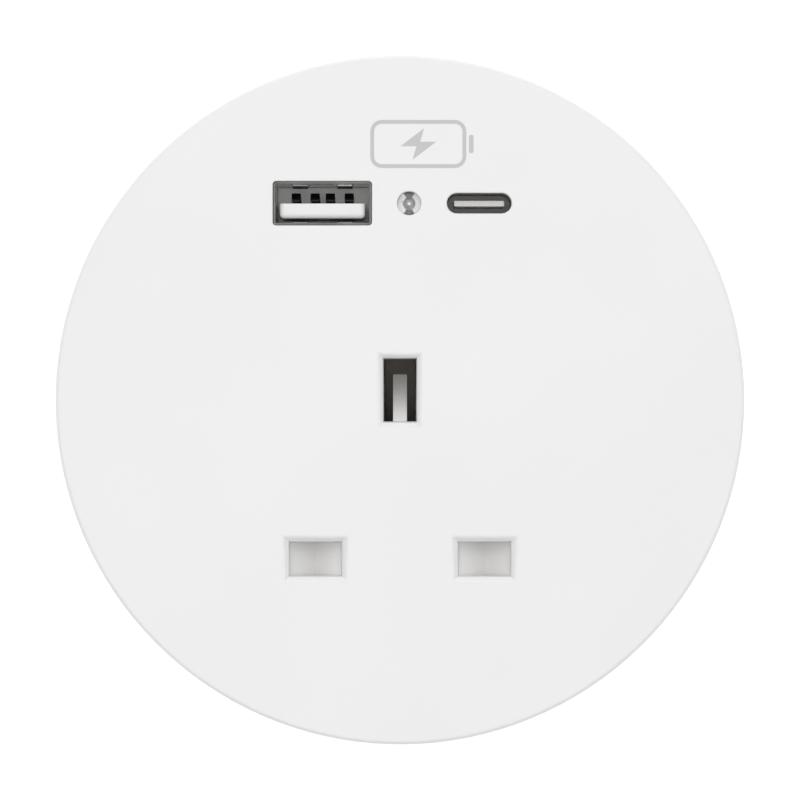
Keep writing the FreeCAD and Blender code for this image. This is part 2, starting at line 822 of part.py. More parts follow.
def contact_screw(leaf_half_width):
    x = leaf_half_width + pillar_gap + pillar_length / 2
    length = pillar_width / 2 - wire_core_radius - fine
    shape = screw(terminal_screw, length)
    shape.rotate(Vector(0, 0, 0), Vector(1, 0, 0), -90)
    return moved(shape, x, -pillar_width / 2, terminal_screw_z)


def at_line(shape):
    return moved(shape, power_x, power_y)


def at_neutral(shape):
    return mirrored(at_line(shape))


def at_earth(shape):
    return moved(turned(shape, 90), 0, outlet_y)


earth_strap_top = face_top - earth_pin_length - pin_tip_clearance
power_strap_top = face_top - power_pin_length - pin_tip_clearance
power_terminal = (power_x + power_leaf_half_width + pillar_gap + pillar_length / 2, power_y)
earth_terminal = (0.0, outlet_y + earth_leaf_half_width + pillar_gap + pillar_length / 2)


def carrier_outline(z0, z1):
    bar = box(-carrier_half_width, carrier_half_width, carrier_bar_bottom_y, carrier_bar_top_y, z0, z1)
    bar = bar.common(cylinder(carrier_edge_radius, z0, z1))
    stem = box(-carrier_stem_half_width, carrier_stem_half_width,
               carrier_bar_top_y - fine, carrier_top_y, z0, z1)
    lugs = []
    for x, y in standoffs:
        lugs.append(cylinder(carrier_lug_radius, z0, z1, x, y))
        side = math.copysign(carrier_stem_half_width - 1, x)
        lugs.append(box(min(x, side), max(x, side), y - carrier_lug_radius, y + carrier_lug_radius, z0, z1))
    return joined(bar, stem, *lugs)


def make_carrier():
    block = carrier_outline(carrier_bottom, carrier_top)
    power_well = well(power_leaf_half_width, power_mouth)
    earth_well = well(earth_leaf_half_width, earth_mouth)
    tools = [at_line(power_well), at_neutral(power_well), at_earth(earth_well)]
    tools += power_slot(slot_clearance, power_mouth, carrier_top + 1)
    tools.append(earth_slot(slot_clearance, earth_mouth, carrier_top + 1))
    ramp_floor = shutter_top - slot_clearance - (ramp_foot_y - earth_slot_bottom) - ramp_slot_clearance
    tools.append(ramp_slot(ramp_floor, carrier_top + 1))
    tools += carrier_holes(carrier_bottom - 1, carrier_top + 1)
    return without(block, *tools)


def make_carrier_cover():
    plate = carrier_outline(carrier_cover_bottom, carrier_bottom)
    holes = carrier_holes(carrier_cover_bottom - 1, carrier_bottom + 1)
    wire_hole = wire_radius + 0.4
    for x, y in (power_terminal, (-power_terminal[0], power_terminal[1]), earth_terminal):
        holes.append(cylinder(wire_hole, carrier_cover_bottom - 1, carrier_bottom + 1, x, y))
    return without(plate, *holes)


def make_terminal_screws():
    power = contact_screw(power_leaf_half_width)
    return [at_earth(contact_screw(earth_leaf_half_width)), at_line(power), at_neutral(power)]


# Mains inlet
def inlet_pin_places():
    half = inlet_pin_pitch / 2
    return [(half, line_pin_y), (-half, line_pin_y), (0.0, earth_pin_y)]


def make_inlet():
    outer_x = inlet_opening_width / 2 + inlet_wall
    outer_y = inlet_opening_height / 2 + inlet_wall
    body = box(-outer_x, outer_x, inlet_y - outer_y, inlet_y + outer_y, cover_top, inlet_top)
    flange_top = cover_top + inlet_flange_thickness
    flange = rounded_box(0, inlet_y, inlet_flange_width, inlet_flange_height, inlet_opening_corner,
                         cover_top, flange_top)
    holes = [inlet_outline(0, cover_top - 1, inlet_floor)]
    for x, y in inlet_pin_places():
        holes.append(box(x - inlet_pin_width / 2, x + inlet_pin_width / 2, y - inlet_pin_height / 2,
                         y + inlet_pin_height / 2, inlet_floor - 1, inlet_top + 1))
    for x, y in inlet_screw_places():
        radius = inlet_screw[0] + screw_pass_clearance
        holes.append(cylinder(radius, cover_top - 1, flange_top + 1, x, y))
    return without(joined(body, flange), *holes)


def make_inlet_pins():
    pins = []
    for x, y in inlet_pin_places():
        inset = inlet_earth_pin_inset if y == earth_pin_y else inlet_pin_inset
        pin = box(x - inlet_pin_width / 2, x + inlet_pin_width / 2, y - inlet_pin_height / 2,
                  y + inlet_pin_height / 2, base_z + inset, inlet_top)
        tip = [e for e in pin.Edges if e.BoundBox.ZMax < base_z + inset + fine]
        pin = pin.makeChamfer(0.6, tip)
        tab = box(x - tab_width / 2, x + tab_width / 2, y - tab_thickness / 2, y + tab_thickness / 2,
                  inlet_top - fine, tab_top)
        pins.append(joined(pin, tab.cut(box(-reach, reach, -reach, reach, inlet_floor, inlet_top))))
    return pins


def wire_ends():
    """Pin place and terminal place of each internal wire."""
    line, neutral, earth = inlet_pin_places()
    return {"line": (line, power_terminal), "neutral": (neutral, (-power_terminal[0], power_terminal[1])),
            "earth": (earth, earth_terminal)}


barrel_z = tab_top - barrel_drop


def unit_towards(start, end):
    direction = Vector(end[0] - start[0], end[1] - start[1], 0)
    return direction.normalize()


def make_receptacles():
    shapes = []
    bottom = inlet_top + receptacle_floor_gap
    for start, end in wire_ends().values():
        x, y = start
        block = box(x - receptacle_width / 2, x + receptacle_width / 2, y - receptacle_thickness / 2,
                    y + receptacle_thickness / 2, bottom, bottom + receptacle_height)
        direction = unit_towards(start, end)
        barrel = rod(barrel_radius, Vector(x, y, barrel_z), direction, barrel_length)
        bore_start = Vector(x, y, barrel_z) + direction * (wire_start - fine)
        bore = rod(wire_radius + wire_bore_clearance, bore_start, direction, barrel_length)
        gap = receptacle_slot_clearance
        slot = box(x - tab_width / 2 - gap, x + tab_width / 2 + gap, y - tab_thickness / 2 - gap,
                   y + tab_thickness / 2 + gap, bottom - 1, tab_top + gap)
        shapes.append(without(joined(block, barrel), bore, slot))
    return shapes


# Wires
def bent_path(points):
    """Straight runs joined by tangent arcs, each as large as its two runs allow."""
    corners = []
    for before, corner, after in zip(points, points[1:], points[2:]):
        towards = (before - corner).normalize()
        away = (after - corner).normalize()
        turn = math.pi - towards.getAngle(away)
        shorter = min((before - corner).Length, (after - corner).Length)
        radius = bend_share * shorter / math.tan(turn / 2)
        cut = radius * math.tan(turn / 2)
        middle = (towards + away).normalize()
        depth = radius / math.cos(turn / 2) - radius
        corners.append((corner + towards * cut, corner + middle * depth, corner + away * cut))
        print("bend radius", round(radius, 1))
    edges = []
    last = points[0]
    for start, middle, end in corners:
        edges.append(Part.LineSegment(last, start).toShape())
        edges.append(Part.Arc(start, middle, end).toShape())
        last = end
    edges.append(Part.LineSegment(last, points[-1]).toShape())
    return Part.Wire(edges)


def tube_along(points, radius):
    path = bent_path(points)
    direction = (points[1] - points[0]).normalize()
    section = Part.Wire([Part.Circle(points[0], direction, radius).toShape()])
    tube = path.makePipeShell([section], True, False)
    ratio = tube.Volume / (math.pi * radius**2 * path.Length)
    print("tube volume over section times length", round(ratio, 4))
    return tube


def make_wire(name):
    start, end = wire_ends()[name]
    direction = unit_towards(start, end)
    first = Vector(start[0], start[1], barrel_z) + direction * wire_start
    corner = Vector(end[0], end[1], barrel_z)
    last = Vector(end[0], end[1], pillar_bottom)
    jacket = tube_along([first, corner, last], wire_radius)
    core = rod(wire_core_radius, last - Vector(0, 0, fine), Vector(0, 0, 1), wire_core_length)
    return joined(jacket, core)


def charger_lead_points():
    x = inlet_pin_pitch / 2
    start = Vector(x, line_pin_y + receptacle_thickness / 2, barrel_z)
    end = Vector(x - lead_wire_swing, board_face_y, barrel_z - lead_wire_swing)
    third = (end.y - start.y) / 3
    return [start, Vector(start.x, start.y + third, start.z), Vector(end.x, end.y - third, end.z), end]


def make_charger_leads():
    return both_sides(tube_along(charger_lead_points(), lead_wire_radius))


# Charger
def make_barrier():
    y = barrier_y
    half = math.sqrt(tube_bore_radius**2 - (y + barrier_thickness)**2) - barrier_clearance
    sheet = box(-half, half, y, y + barrier_thickness, cover_top + spigot_height + barrier_clearance,
                web_bottom - barrier_clearance)
    points = charger_lead_points()
    middle = (points[1] + points[2]) / 2
    hole = rod(barrier_hole_radius, Vector(middle.x, y - 1, middle.z), Vector(0, 1, 0), 3)
    return without(sheet, *both_sides(hole))


def make_board():
    board = box(-board_half_width, board_half_width, board_face_y, board_back_y, board_bottom, board_top)
    return board


def usb_a_section(inset, z0, z1):
    corner = max(usb_a_corner - inset, 0.1)
    width = usb_a_width - 2 * inset
    height = usb_a_height - 2 * inset
    return rounded_box(usb_a_x, port_row_y, width, height, corner, z0, z1)


def make_usb_a_shell():
    shell = usb_a_section(0, usb_a_end, usb_a_mouth)
    shell = shell.cut(usb_a_section(usb_a_wall, usb_a_end - 1, usb_a_mouth + 1))
    tip_z = usb_a_mouth - usb_a_tab_inset
    root_z = tip_z - usb_a_tab_length
    wall_y = usb_a_height / 2
    inner_y = wall_y - usb_a_wall
    low_y = inner_y - usb_a_tab_push
    knee_z = tip_z - usb_a_tab_length / 4
    leaf = [(wall_y - usb_a_tab_sheet, root_z), (wall_y, root_z), (low_y + usb_a_tab_sheet, knee_z)]
    leaf += [(inner_y + fine, tip_z), (inner_y - usb_a_tab_sheet, tip_z), (low_y, knee_z)]
    cuts = []
    leaves = []
    for x in (usb_a_x - usb_a_tab_offset, usb_a_x + usb_a_tab_offset):
        half = usb_a_tab_width / 2
        tab = prism_along_x(leaf, x - half, x + half)
        window = box(x - half - 0.15, x + half + 0.15, inner_y - 0.1, wall_y + 1, root_z, tip_z + 0.3)
        for part, group in ((tab, leaves), (window, cuts)):
            group.append(moved(part, 0, port_row_y))
            group.append(moved(part.mirror(Vector(0, 0, 0), Vector(0, 1, 0)), 0, port_row_y))
    return joined(without(shell, *cuts), *leaves)


usb_a_tongue_bottom = port_row_y - usb_a_height / 2 + usb_a_wall + usb_a_tongue_offset
usb_a_tongue_top = usb_a_tongue_bottom + usb_a_tongue_height
usb_a_back_top = usb_a_end + usb_a_back


def make_usb_a_tongue():
    back = usb_a_section(usb_a_wall + port_clearance, usb_a_end, usb_a_back_top)
    half = usb_a_tongue_width / 2
    tongue = box(usb_a_x - half, usb_a_x + half, usb_a_tongue_bottom, usb_a_tongue_top,
                 usb_a_back_top - fine, usb_a_mouth - usb_a_tongue_inset)
    lower = [e for e in tongue.Edges if e.BoundBox.YMax < usb_a_tongue_bottom + fine
             and e.BoundBox.ZLength > usb_a_back]
    return joined(back, tongue.makeFillet(usb_a_tongue_rounding, lower))


def make_usb_a_contacts():
    y = usb_a_tongue_top
    sheet = usb_a_contact_sheet
    foot = usb_a_back_top
    top = y + usb_a_contact_rise
    crest_z = usb_a_mouth - usb_a_contact_inset
    tip_z = usb_a_mouth - usb_a_tab_inset
    strip = [(y, foot), (y + sheet, foot), (y + sheet, foot + 1.5), (top, crest_z), (y + 2 * sheet, tip_z)]
    strip += [(y + sheet, tip_z), (top - sheet, crest_z - 0.4), (y, foot + 2.2)]
    strips = []
    for offset in usb_a_contact_offsets:
        x = usb_a_x + offset
        strips.append(prism_along_x(strip, x - usb_a_contact_width / 2, x + usb_a_contact_width / 2))
    return strips


def usb_c_section(grow, z0, z1):
    width = usb_c_opening_width + 2 * grow
    height = usb_c_opening_height + 2 * grow
    return stadium(usb_c_x, port_row_y, width, height, z0, z1)


def make_usb_c_shell():
    shell = usb_c_section(usb_c_wall, usb_c_end, usb_c_mouth)
    shell = shell.cut(usb_c_section(0, usb_c_end - 1, usb_c_mouth + 1))
    back_y = port_row_y + usb_c_opening_height / 2 + usb_c_wall
    half = usb_c_opening_width / 2 - usb_c_opening_height / 2
    feet = []
    for side in (-1, 1):
        x = usb_c_x + side * half
        feet.append(box(x - usb_c_foot_size, x + usb_c_foot_size, back_y - usb_c_wall / 2, board_face_y,
                        usb_c_end + usb_c_foot_size, usb_c_end + 3 * usb_c_foot_size))
    return joined(shell, *feet)


def make_usb_c_tongue():
    back = usb_c_section(-port_clearance, usb_c_end, usb_c_end + usb_c_back)
    half_width = usb_c_tongue_width / 2
    half_height = usb_c_tongue_height / 2
    tongue = box(usb_c_x - half_width, usb_c_x + half_width,
                 port_row_y - half_height, port_row_y + half_height,
                 usb_c_end + usb_c_back - fine, usb_c_mouth - usb_c_tongue_inset)
    return joined(back, tongue)


def make_usb_c_contacts():
    strips = []
    half = usb_c_contact_width / 2
    first = usb_c_x - usb_c_contact_pitch * (usb_c_contact_count - 1) / 2
    for number in range(usb_c_contact_count):
        x = first + usb_c_contact_pitch * number
        for side in (-1, 1):
            near = port_row_y + side * usb_c_tongue_height / 2
            far = near + side * usb_c_contact_sheet
            strips.append(box(x - half, x + half, min(near, far), max(near, far), usb_c_end + usb_c_back,
                              usb_c_mouth - usb_c_tongue_inset - 1))
    return strips


led_top = face_top - led_inset
led_bottom = led_top - led_length


def make_led():
    dome_z = led_top - led_radius
    body = cylinder(led_radius, led_bottom, dome_z, led_x, port_row_y)
    dome = Part.makeSphere(led_radius, Vector(led_x, port_row_y, dome_z))
    flange = cylinder(led_radius + led_flange, led_bottom, led_bottom + led_flange_height, led_x, port_row_y)
    return joined(body, dome, flange)


def make_led_leads():
    """Two leads behind one another, the front one bent to the board below the back one."""
    leads = []
    half = lead_size / 2
    for side, drop in ((1, led_bottom - lead_drop), (-1, led_bottom - lead_drop - lead_step)):
        y = port_row_y + side * lead_pitch
        down = box(led_x - half, led_x + half, y - half, y + half, drop, led_bottom)
        across = box(led_x - half, led_x + half, y - half, board_face_y, drop, drop + lead_size)
        leads.append(joined(down, across))
    return leads


core_back_y = board_face_y - core_standoff
core_front_y = core_back_y - core_depth


def transformer_box(half_x, y0, y1, half_z):
    return box(-half_x, half_x, y0, y1, transformer_z - half_z, transformer_z + half_z)


def make_core():
    block = transformer_box(core_width / 2, core_front_y, core_back_y, core_height / 2)
    half_window = core_height / 2 - core_leg
    window = box(core_centre_leg / 2, core_width / 2 - core_leg, core_front_y - 1, core_back_y + 1,
                 transformer_z - half_window, transformer_z + half_window)
    return without(block, *both_sides(window))


def make_winding():
    outer_x = core_width / 2 - core_leg - winding_clearance
    half_z = core_height / 2 - core_leg - winding_clearance
    block = transformer_box(outer_x, core_front_y - winding_wrap, core_back_y + winding_wrap, half_z)
    upright = [e for e in block.Edges if e.BoundBox.ZLength > half_z]
    block = block.makeFillet(1.2, upright)
    leg = transformer_box(core_centre_leg / 2 + winding_clearance, core_front_y - winding_clearance,
                          core_back_y + winding_clearance, core_height)
    return without(block, leg)


def make_bobbin():
    half_x = core_width / 2 - 1
    half_z = core_height / 2 - 0.5
    base = transformer_box(half_x, board_face_y - bobbin_base, board_face_y, half_z)
    return base


def capacitor_can(radius, height, x, z):
    can = rod(radius, Vector(x, board_face_y, z), Vector(0, -1, 0), height)
    front = [e for e in can.Edges if e.BoundBox.YMax < board_face_y - height + fine]
    return can.makeFillet(capacitor_rounding, front)


def make_input_capacitors():
    can = capacitor_can(input_capacitor_radius, input_capacitor_height, input_capacitor_x, transformer_z)
    return both_sides(can)


def make_output_capacitor():
    return capacitor_can(output_capacitor_radius, output_capacitor_height, output_capacitor_x,
                         output_capacitor_z)


def make_safety_capacitor():
    y = board_face_y - safety_capacitor_radius - safety_capacitor_standoff
    half = safety_capacitor_thickness / 2
    disc = rod(safety_capacitor_radius, Vector(-half, y, safety_capacitor_z), Vector(1, 0, 0),
               safety_capacitor_thickness)
    disc = disc.makeFillet(1.2, [e for e in disc.Edges if e.BoundBox.XLength < fine])
    half_lead = lead_size / 2
    legs = []
    for side in (-1, 1):
        z = safety_capacitor_z + side * 2 * lead_pitch
        legs.append(box(-half_lead, half_lead, y, board_face_y, z - half_lead, z + half_lead))
    return joined(disc, *legs)


def block_on_board(x, z, size):
    width, depth, height = size
    return box(x - width / 2, x + width / 2, board_face_y - depth, board_face_y,
               z - height / 2, z + height / 2)


def make_fuse():
    return rod(fuse_radius, Vector(fuse_x, board_face_y, fuse_z), Vector(0, -1, 0), fuse_height)


save("faceplate", make_faceplate())
save("gasket_ring", make_gasket())
save("housing", make_housing())
save("rear_cover", make_rear_cover())
save("clamp_washer", make_washer())
save("ring_nut", make_nut())
save("face_screws", make_face_screws())
save("carrier_screws", make_carrier_screws())
save("cover_screws", make_cover_screws())
save("shutter", make_shutter())
save("shutter_spring", make_spring())
save("shutter_keeper", make_keeper())
save("contact_carrier", make_carrier())
save("contact_cover", make_carrier_cover())
save("earth_contact", at_earth(contact_body(earth_leaf_half_width, earth_mouth, earth_strap_top)))
save("line_contact", at_line(contact_body(power_leaf_half_width, power_mouth, power_strap_top)))
save("neutral_contact", at_neutral(contact_body(power_leaf_half_width, power_mouth, power_strap_top)))
save("terminal_screws", make_terminal_screws())
save("earth_wire", make_wire("earth"))
save("line_wire", make_wire("line"))
save("neutral_wire", make_wire("neutral"))
save("charger_leads", make_charger_leads())
save("tab_receptacles", make_receptacles())
save("mains_inlet", make_inlet())
save("inlet_pins", make_inlet_pins())
save("inlet_screws", make_inlet_screws())
save("insulation_barrier", make_barrier())
save("charger_board", make_board())
save("usb_a_shell", make_usb_a_shell())
save("usb_a_tongue", make_usb_a_tongue())
save("usb_a_contacts", make_usb_a_contacts())
save("usb_c_shell", make_usb_c_shell())
save("usb_c_tongue", make_usb_c_tongue())
save("usb_c_contacts", make_usb_c_contacts())
save("status_led", make_led())
save("led_leads", make_led_leads())
save("transformer_core", make_core())
save("transformer_winding", make_winding())
save("transformer_bobbin", make_bobbin())
save("input_capacitors", make_input_capacitors())
save("output_capacitor", make_output_capacitor())
save("safety_capacitor", make_safety_capacitor())
save("bridge_rectifier", block_on_board(bridge_x, bridge_z, bridge_size))
save("controller_chip", block_on_board(chip_x, chip_z, chip_size))
save("input_fuse", make_fuse())
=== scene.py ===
import bmesh
import bpy
import json
import math
from mathutils import Matrix, Vector


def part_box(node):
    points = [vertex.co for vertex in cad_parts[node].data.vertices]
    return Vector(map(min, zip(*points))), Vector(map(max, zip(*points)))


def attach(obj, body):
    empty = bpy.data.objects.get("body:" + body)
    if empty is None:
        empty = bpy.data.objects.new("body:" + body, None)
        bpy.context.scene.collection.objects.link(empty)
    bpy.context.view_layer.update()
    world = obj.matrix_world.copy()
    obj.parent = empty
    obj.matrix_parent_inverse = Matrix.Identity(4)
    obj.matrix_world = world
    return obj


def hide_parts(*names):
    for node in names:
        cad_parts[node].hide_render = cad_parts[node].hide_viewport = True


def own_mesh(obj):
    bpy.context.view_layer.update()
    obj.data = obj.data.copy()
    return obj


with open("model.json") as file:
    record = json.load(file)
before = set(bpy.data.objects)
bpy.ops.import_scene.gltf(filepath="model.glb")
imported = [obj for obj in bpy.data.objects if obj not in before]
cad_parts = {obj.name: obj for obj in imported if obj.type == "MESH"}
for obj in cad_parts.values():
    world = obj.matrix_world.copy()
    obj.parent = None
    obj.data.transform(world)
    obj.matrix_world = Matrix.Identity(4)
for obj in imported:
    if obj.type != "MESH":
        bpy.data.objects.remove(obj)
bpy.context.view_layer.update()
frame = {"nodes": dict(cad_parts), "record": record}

# In-desk power module, in metres: finishes, softened edges, the indicator, marks, light and camera.
mm = 0.001
record = frame["record"]
body_of = {node: body for body, nodes in record["behaviour"]["bodies"].items() for node in nodes}
slot_of = {part["node"]: part["material_slot"] for part in record["subparts"]}

# Sizes taken from the model
face_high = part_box("faceplate")[1]
face_top = face_high.z
face_radius = face_high.x
base_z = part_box("rear_cover")[0].z
nut_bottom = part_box("ring_nut")[0].z
lens_low, lens_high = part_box("status_led")
port_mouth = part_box("usb_a_shell")[1].z

# Softened edges, in millimetres: how far each kind of piece rounds off
edge_of_slot = {
    "white_plastic": 0.16,
    "shutter_plastic": 0.15,
    "tube_plastic": 0.22,
    "inner_plastic": 0.12,
    "black_plastic": 0.15,
    "seal": 0.15,
    "brass": 0.06,
    "steel": 0.07,
    "nickel": 0.06,
    "screw_steel": 0.08,
    "barrier_sheet": 0.05,
    "board_laminate": 0.06,
    "ferrite": 0.12,
}
edge_of_node = {"usb_a_tongue": 0.08, "usb_c_contacts": 0.012, "usb_c_tongue": 0.06, "usb_c_shell": 0.05}
left_as_drawn = ("shutter_spring", "status_led", "led_leads")
outlet_lip = 0.25
outlet_inner_lip = 0.05
crystal_edge = 0.015

# The tongue's front and the face's rim, whose roundings are drawn in level steps
tongue_rounding = 0.54 * mm
tongue_steps = 6
rim_rounding = 0.5 * mm
rim_margin = 0.01 * mm
rim_steps = 6

# How points, edges and faces are told apart: lengths, angles, and parts of a face's normal along an axis
weld = 2e-6
crease = math.radians(33)
coplanar = 0.01
outlet_reach = 29 * mm
outlet_top_y = 7 * mm
trough_length = 5 * mm
facing = 0.5
leaning = 0.04
sideways = 0.7

# Numbers that mark the edges to round: the slots' upper and inner lips, then each run of edges
left_sharp = 0
upper_lip = 1
inner_lip = 2
first_run = 3
edge_segments = 2
lip_segments = 4

# Smooth shading, as cosines of the angle between two faces
same_plane = math.cos(math.radians(0.2))
smooth_limit = math.cos(math.radians(50))
trough_limit = math.cos(math.radians(40))

# Faces painted lighter or darker to stand in for light and shade
mouth_band = 0.2 * mm
usb_a_back_depth = 8 * mm
usb_c_floor_depth = 4 * mm
ramp_reach = 0.95 * mm
ramp_start = -2.9 * mm

# Surfaces
cloud_density = 38.0
grain_depth = 0.02 * mm
line_density = 2500.0
line_depth = 0.006 * mm
patch_density = 160.0
stripe_limit = 0.72
plastic_ior = 1.5
lens_ior = 1.4
lens_transmission = 0.84
lens_clearness = 0.8


# Materials: shared effects
def new_group(name, inputs, outputs):
    """A node group with inputs, each (name, kind, default), and outputs, each (name, kind)."""
    group = bpy.data.node_groups.new(name, "ShaderNodeTree")
    for label, kind, default in inputs:
        socket = group.interface.new_socket(label, in_out="INPUT", socket_type="NodeSocket" + kind)
        socket.default_value = default
    for label, kind in outputs:
        group.interface.new_socket(label, in_out="OUTPUT", socket_type="NodeSocket" + kind)
    return group, group.nodes.new("NodeGroupInput"), group.nodes.new("NodeGroupOutput")


def add(tree, kind, **values):
    """A node of the given kind, with its properties and its unlinked inputs set by name."""
    node = tree.nodes.new("ShaderNode" + kind)
    for label, value in values.items():
        if hasattr(node, label):
            setattr(node, label, value)
        else:
            node.inputs[label.replace("_", " ")].default_value = value
    return node


def calculate(tree, operation, *values, clamp=False):
    """A sum on numbers and linked values."""
    node = tree.nodes.new("ShaderNodeMath")
    node.operation = operation
    node.use_clamp = clamp
    for socket, value in zip(node.inputs, values):
        if isinstance(value, (int, float)):
            socket.default_value = value
        else:
            tree.links.new(value, socket)
    return node.outputs[0]


def mixed(tree, factor, first, second):
    """The first colour with the factor's share of the second."""
    node = tree.nodes.new("ShaderNodeMix")
    node.data_type = "RGBA"
    for socket, value in ((node.inputs[0], factor), (node.inputs[6], first), (node.inputs[7], second)):
        if isinstance(value, (int, float, tuple, list)):
            socket.default_value = value
        else:
            tree.links.new(value, socket)
    return node.outputs[2]


def moulded_surface_group():
    """Fine spark-eroded grain and a faint cloudy tone, as on moulded plastic."""
    group, given, out = new_group(
        "moulded_surface",
        [("Color", "Color", (0.8, 0.8, 0.8, 1)), ("Cloud", "Float", 0.02), ("Roughness", "Float", 0.4),
         ("Grain", "Float", 0.1), ("Grain Size", "Float", 0.0002)],
        [("Color", "Color"), ("Roughness", "Float"), ("Normal", "Vector")])
    place = group.nodes.new("ShaderNodeTexCoord").outputs["Object"]
    cloud = add(group, "TexNoise", Scale=cloud_density, Detail=3.0, Roughness=0.5)
    group.links.new(place, cloud.inputs["Vector"])
    shift = calculate(group, "SUBTRACT", cloud.outputs["Fac"], 0.5)
    toned = group.nodes.new("ShaderNodeVectorMath")
    toned.operation = "SCALE"
    group.links.new(given.outputs["Color"], toned.inputs[0])
    tone = calculate(group, "MULTIPLY_ADD", shift, given.outputs["Cloud"], 1.0)
    group.links.new(tone, toned.inputs["Scale"])
    group.links.new(toned.outputs[0], out.inputs["Color"])
    density = calculate(group, "DIVIDE", 1.0, given.outputs["Grain Size"])
    grain = add(group, "TexNoise", Detail=2.0, Roughness=0.6)
    group.links.new(place, grain.inputs["Vector"])
    group.links.new(density, grain.inputs["Scale"])
    bump = add(group, "Bump", Distance=grain_depth)
    group.links.new(given.outputs["Grain"], bump.inputs["Strength"])
    group.links.new(grain.outputs["Fac"], bump.inputs["Height"])
    group.links.new(bump.outputs[0], out.inputs["Normal"])
    polish = calculate(group, "MULTIPLY_ADD", shift, 0.12, given.outputs["Roughness"], clamp=True)
    group.links.new(polish, out.inputs["Roughness"])
    return group


def worked_metal_group():
    """Rolling lines along one direction, faint stains, and patches of different polish."""
    group, given, out = new_group(
        "worked_metal",
        [("Color", "Color", (0.6, 0.6, 0.6, 1)), ("Stain", "Color", (0.4, 0.38, 0.35, 1)),
         ("Stain Amount", "Float", 0.2), ("Roughness", "Float", 0.3), ("Lines", "Float", 0.2),
         ("Stretch", "Vector", (1.0, 1.0, 1.0))],
        [("Color", "Color"), ("Roughness", "Float"), ("Normal", "Vector")])
    place = group.nodes.new("ShaderNodeTexCoord").outputs["Object"]
    stretched = group.nodes.new("ShaderNodeVectorMath")
    stretched.operation = "MULTIPLY"
    group.links.new(place, stretched.inputs[0])
    group.links.new(given.outputs["Stretch"], stretched.inputs[1])
    lines = add(group, "TexNoise", Scale=line_density, Detail=3.0, Roughness=0.6)
    group.links.new(stretched.outputs[0], lines.inputs["Vector"])
    patches = add(group, "TexNoise", Scale=patch_density, Detail=4.0, Roughness=0.55)
    group.links.new(place, patches.inputs["Vector"])
    amount = given.outputs["Stain Amount"]
    share = calculate(group, "MULTIPLY", patches.outputs["Fac"], amount, clamp=True)
    stained = mixed(group, share, given.outputs["Color"], given.outputs["Stain"])
    group.links.new(stained, out.inputs["Color"])
    uneven = calculate(group, "SUBTRACT", patches.outputs["Fac"], 0.5)
    polish = calculate(group, "MULTIPLY_ADD", uneven, 0.25, given.outputs["Roughness"], clamp=True)
    group.links.new(polish, out.inputs["Roughness"])
    bump = add(group, "Bump", Distance=line_depth)
    group.links.new(given.outputs["Lines"], bump.inputs["Strength"])
    group.links.new(lines.outputs["Fac"], bump.inputs["Height"])
    group.links.new(bump.outputs[0], out.inputs["Normal"])
    return group


moulded_surface = moulded_surface_group()
worked_metal = worked_metal_group()


# Materials
def blank_material(name):
    """A new material, its node tree and its shader."""
    material = bpy.data.materials.new(name)
    material.use_nodes = True
    tree = material.node_tree
    return material, tree, tree.nodes["Principled BSDF"]


def use_group(tree, group, **values):
    """A shared effect in a material, with its inputs set by name."""
    node = tree.nodes.new("ShaderNodeGroup")
    node.node_tree = group
    for label, value in values.items():
        node.inputs[label.replace("_", " ")].default_value = value
    return node


def plug_in(tree, source, shader):
    """Gives the shader what a shared effect puts out."""
    tree.links.new(source.outputs["Color"], shader.inputs["Base Color"])
    tree.links.new(source.outputs["Roughness"], shader.inputs["Roughness"])
    tree.links.new(source.outputs["Normal"], shader.inputs["Normal"])


def plastic(name, color, roughness, grain=0.15, grain_size=0.0002, cloud=0.02):
    """A moulded or coated surface."""
    material, tree, shader = blank_material(name)
    surface = use_group(tree, moulded_surface, Color=(*color, 1), Cloud=cloud, Roughness=roughness,
                        Grain=grain, Grain_Size=grain_size)
    plug_in(tree, surface, shader)
    shader.inputs["IOR"].default_value = plastic_ior
    return material


def metal(name, color, stain, roughness, lines=0.25, stain_amount=0.25):
    """A metal with rolling lines that run up and down."""
    material, tree, shader = blank_material(name)
    surface = use_group(tree, worked_metal, Color=(*color, 1), Stain=(*stain, 1),
                        Stain_Amount=stain_amount, Roughness=roughness, Lines=lines, Stretch=(1, 1, 0.02))
    plug_in(tree, surface, shader)
    shader.inputs["Metallic"].default_value = 1.0
    return material


def striped_jacket(name, ground, stripe, roughness):
    """A jacket with two stripes along the wire, on the sides that face along X."""
    material, tree, shader = blank_material(name)
    across = tree.nodes.new("ShaderNodeSeparateXYZ")
    tree.links.new(tree.nodes.new("ShaderNodeTexCoord").outputs["Normal"], across.inputs[0])
    turned_side = calculate(tree, "ABSOLUTE", across.outputs["X"])
    on_stripe = calculate(tree, "GREATER_THAN", turned_side, stripe_limit)
    surface = use_group(tree, moulded_surface, Cloud=0.05, Roughness=roughness, Grain=0.1)
    tree.links.new(mixed(tree, on_stripe, (*ground, 1), (*stripe, 1)), surface.inputs["Color"])
    plug_in(tree, surface, shader)
    return material


def clear_epoxy():
    """Slightly hazy clear resin, which lets the lamps' light fall on what it holds."""
    material, tree, shader = blank_material("clear_epoxy")
    surface = use_group(tree, moulded_surface, Color=(0.92, 0.915, 0.91, 1), Cloud=0.08, Roughness=0.2,
                        Grain=0.02)
    plug_in(tree, surface, shader)
    shadow = tree.nodes.new("ShaderNodeLightPath").outputs["Is Shadow Ray"]
    tree.links.new(calculate(tree, "MULTIPLY_ADD", shadow, -lens_clearness, 1.0), shader.inputs["Alpha"])
    shader.inputs["IOR"].default_value = lens_ior
    shader.inputs["Transmission Weight"].default_value = lens_transmission
    return material


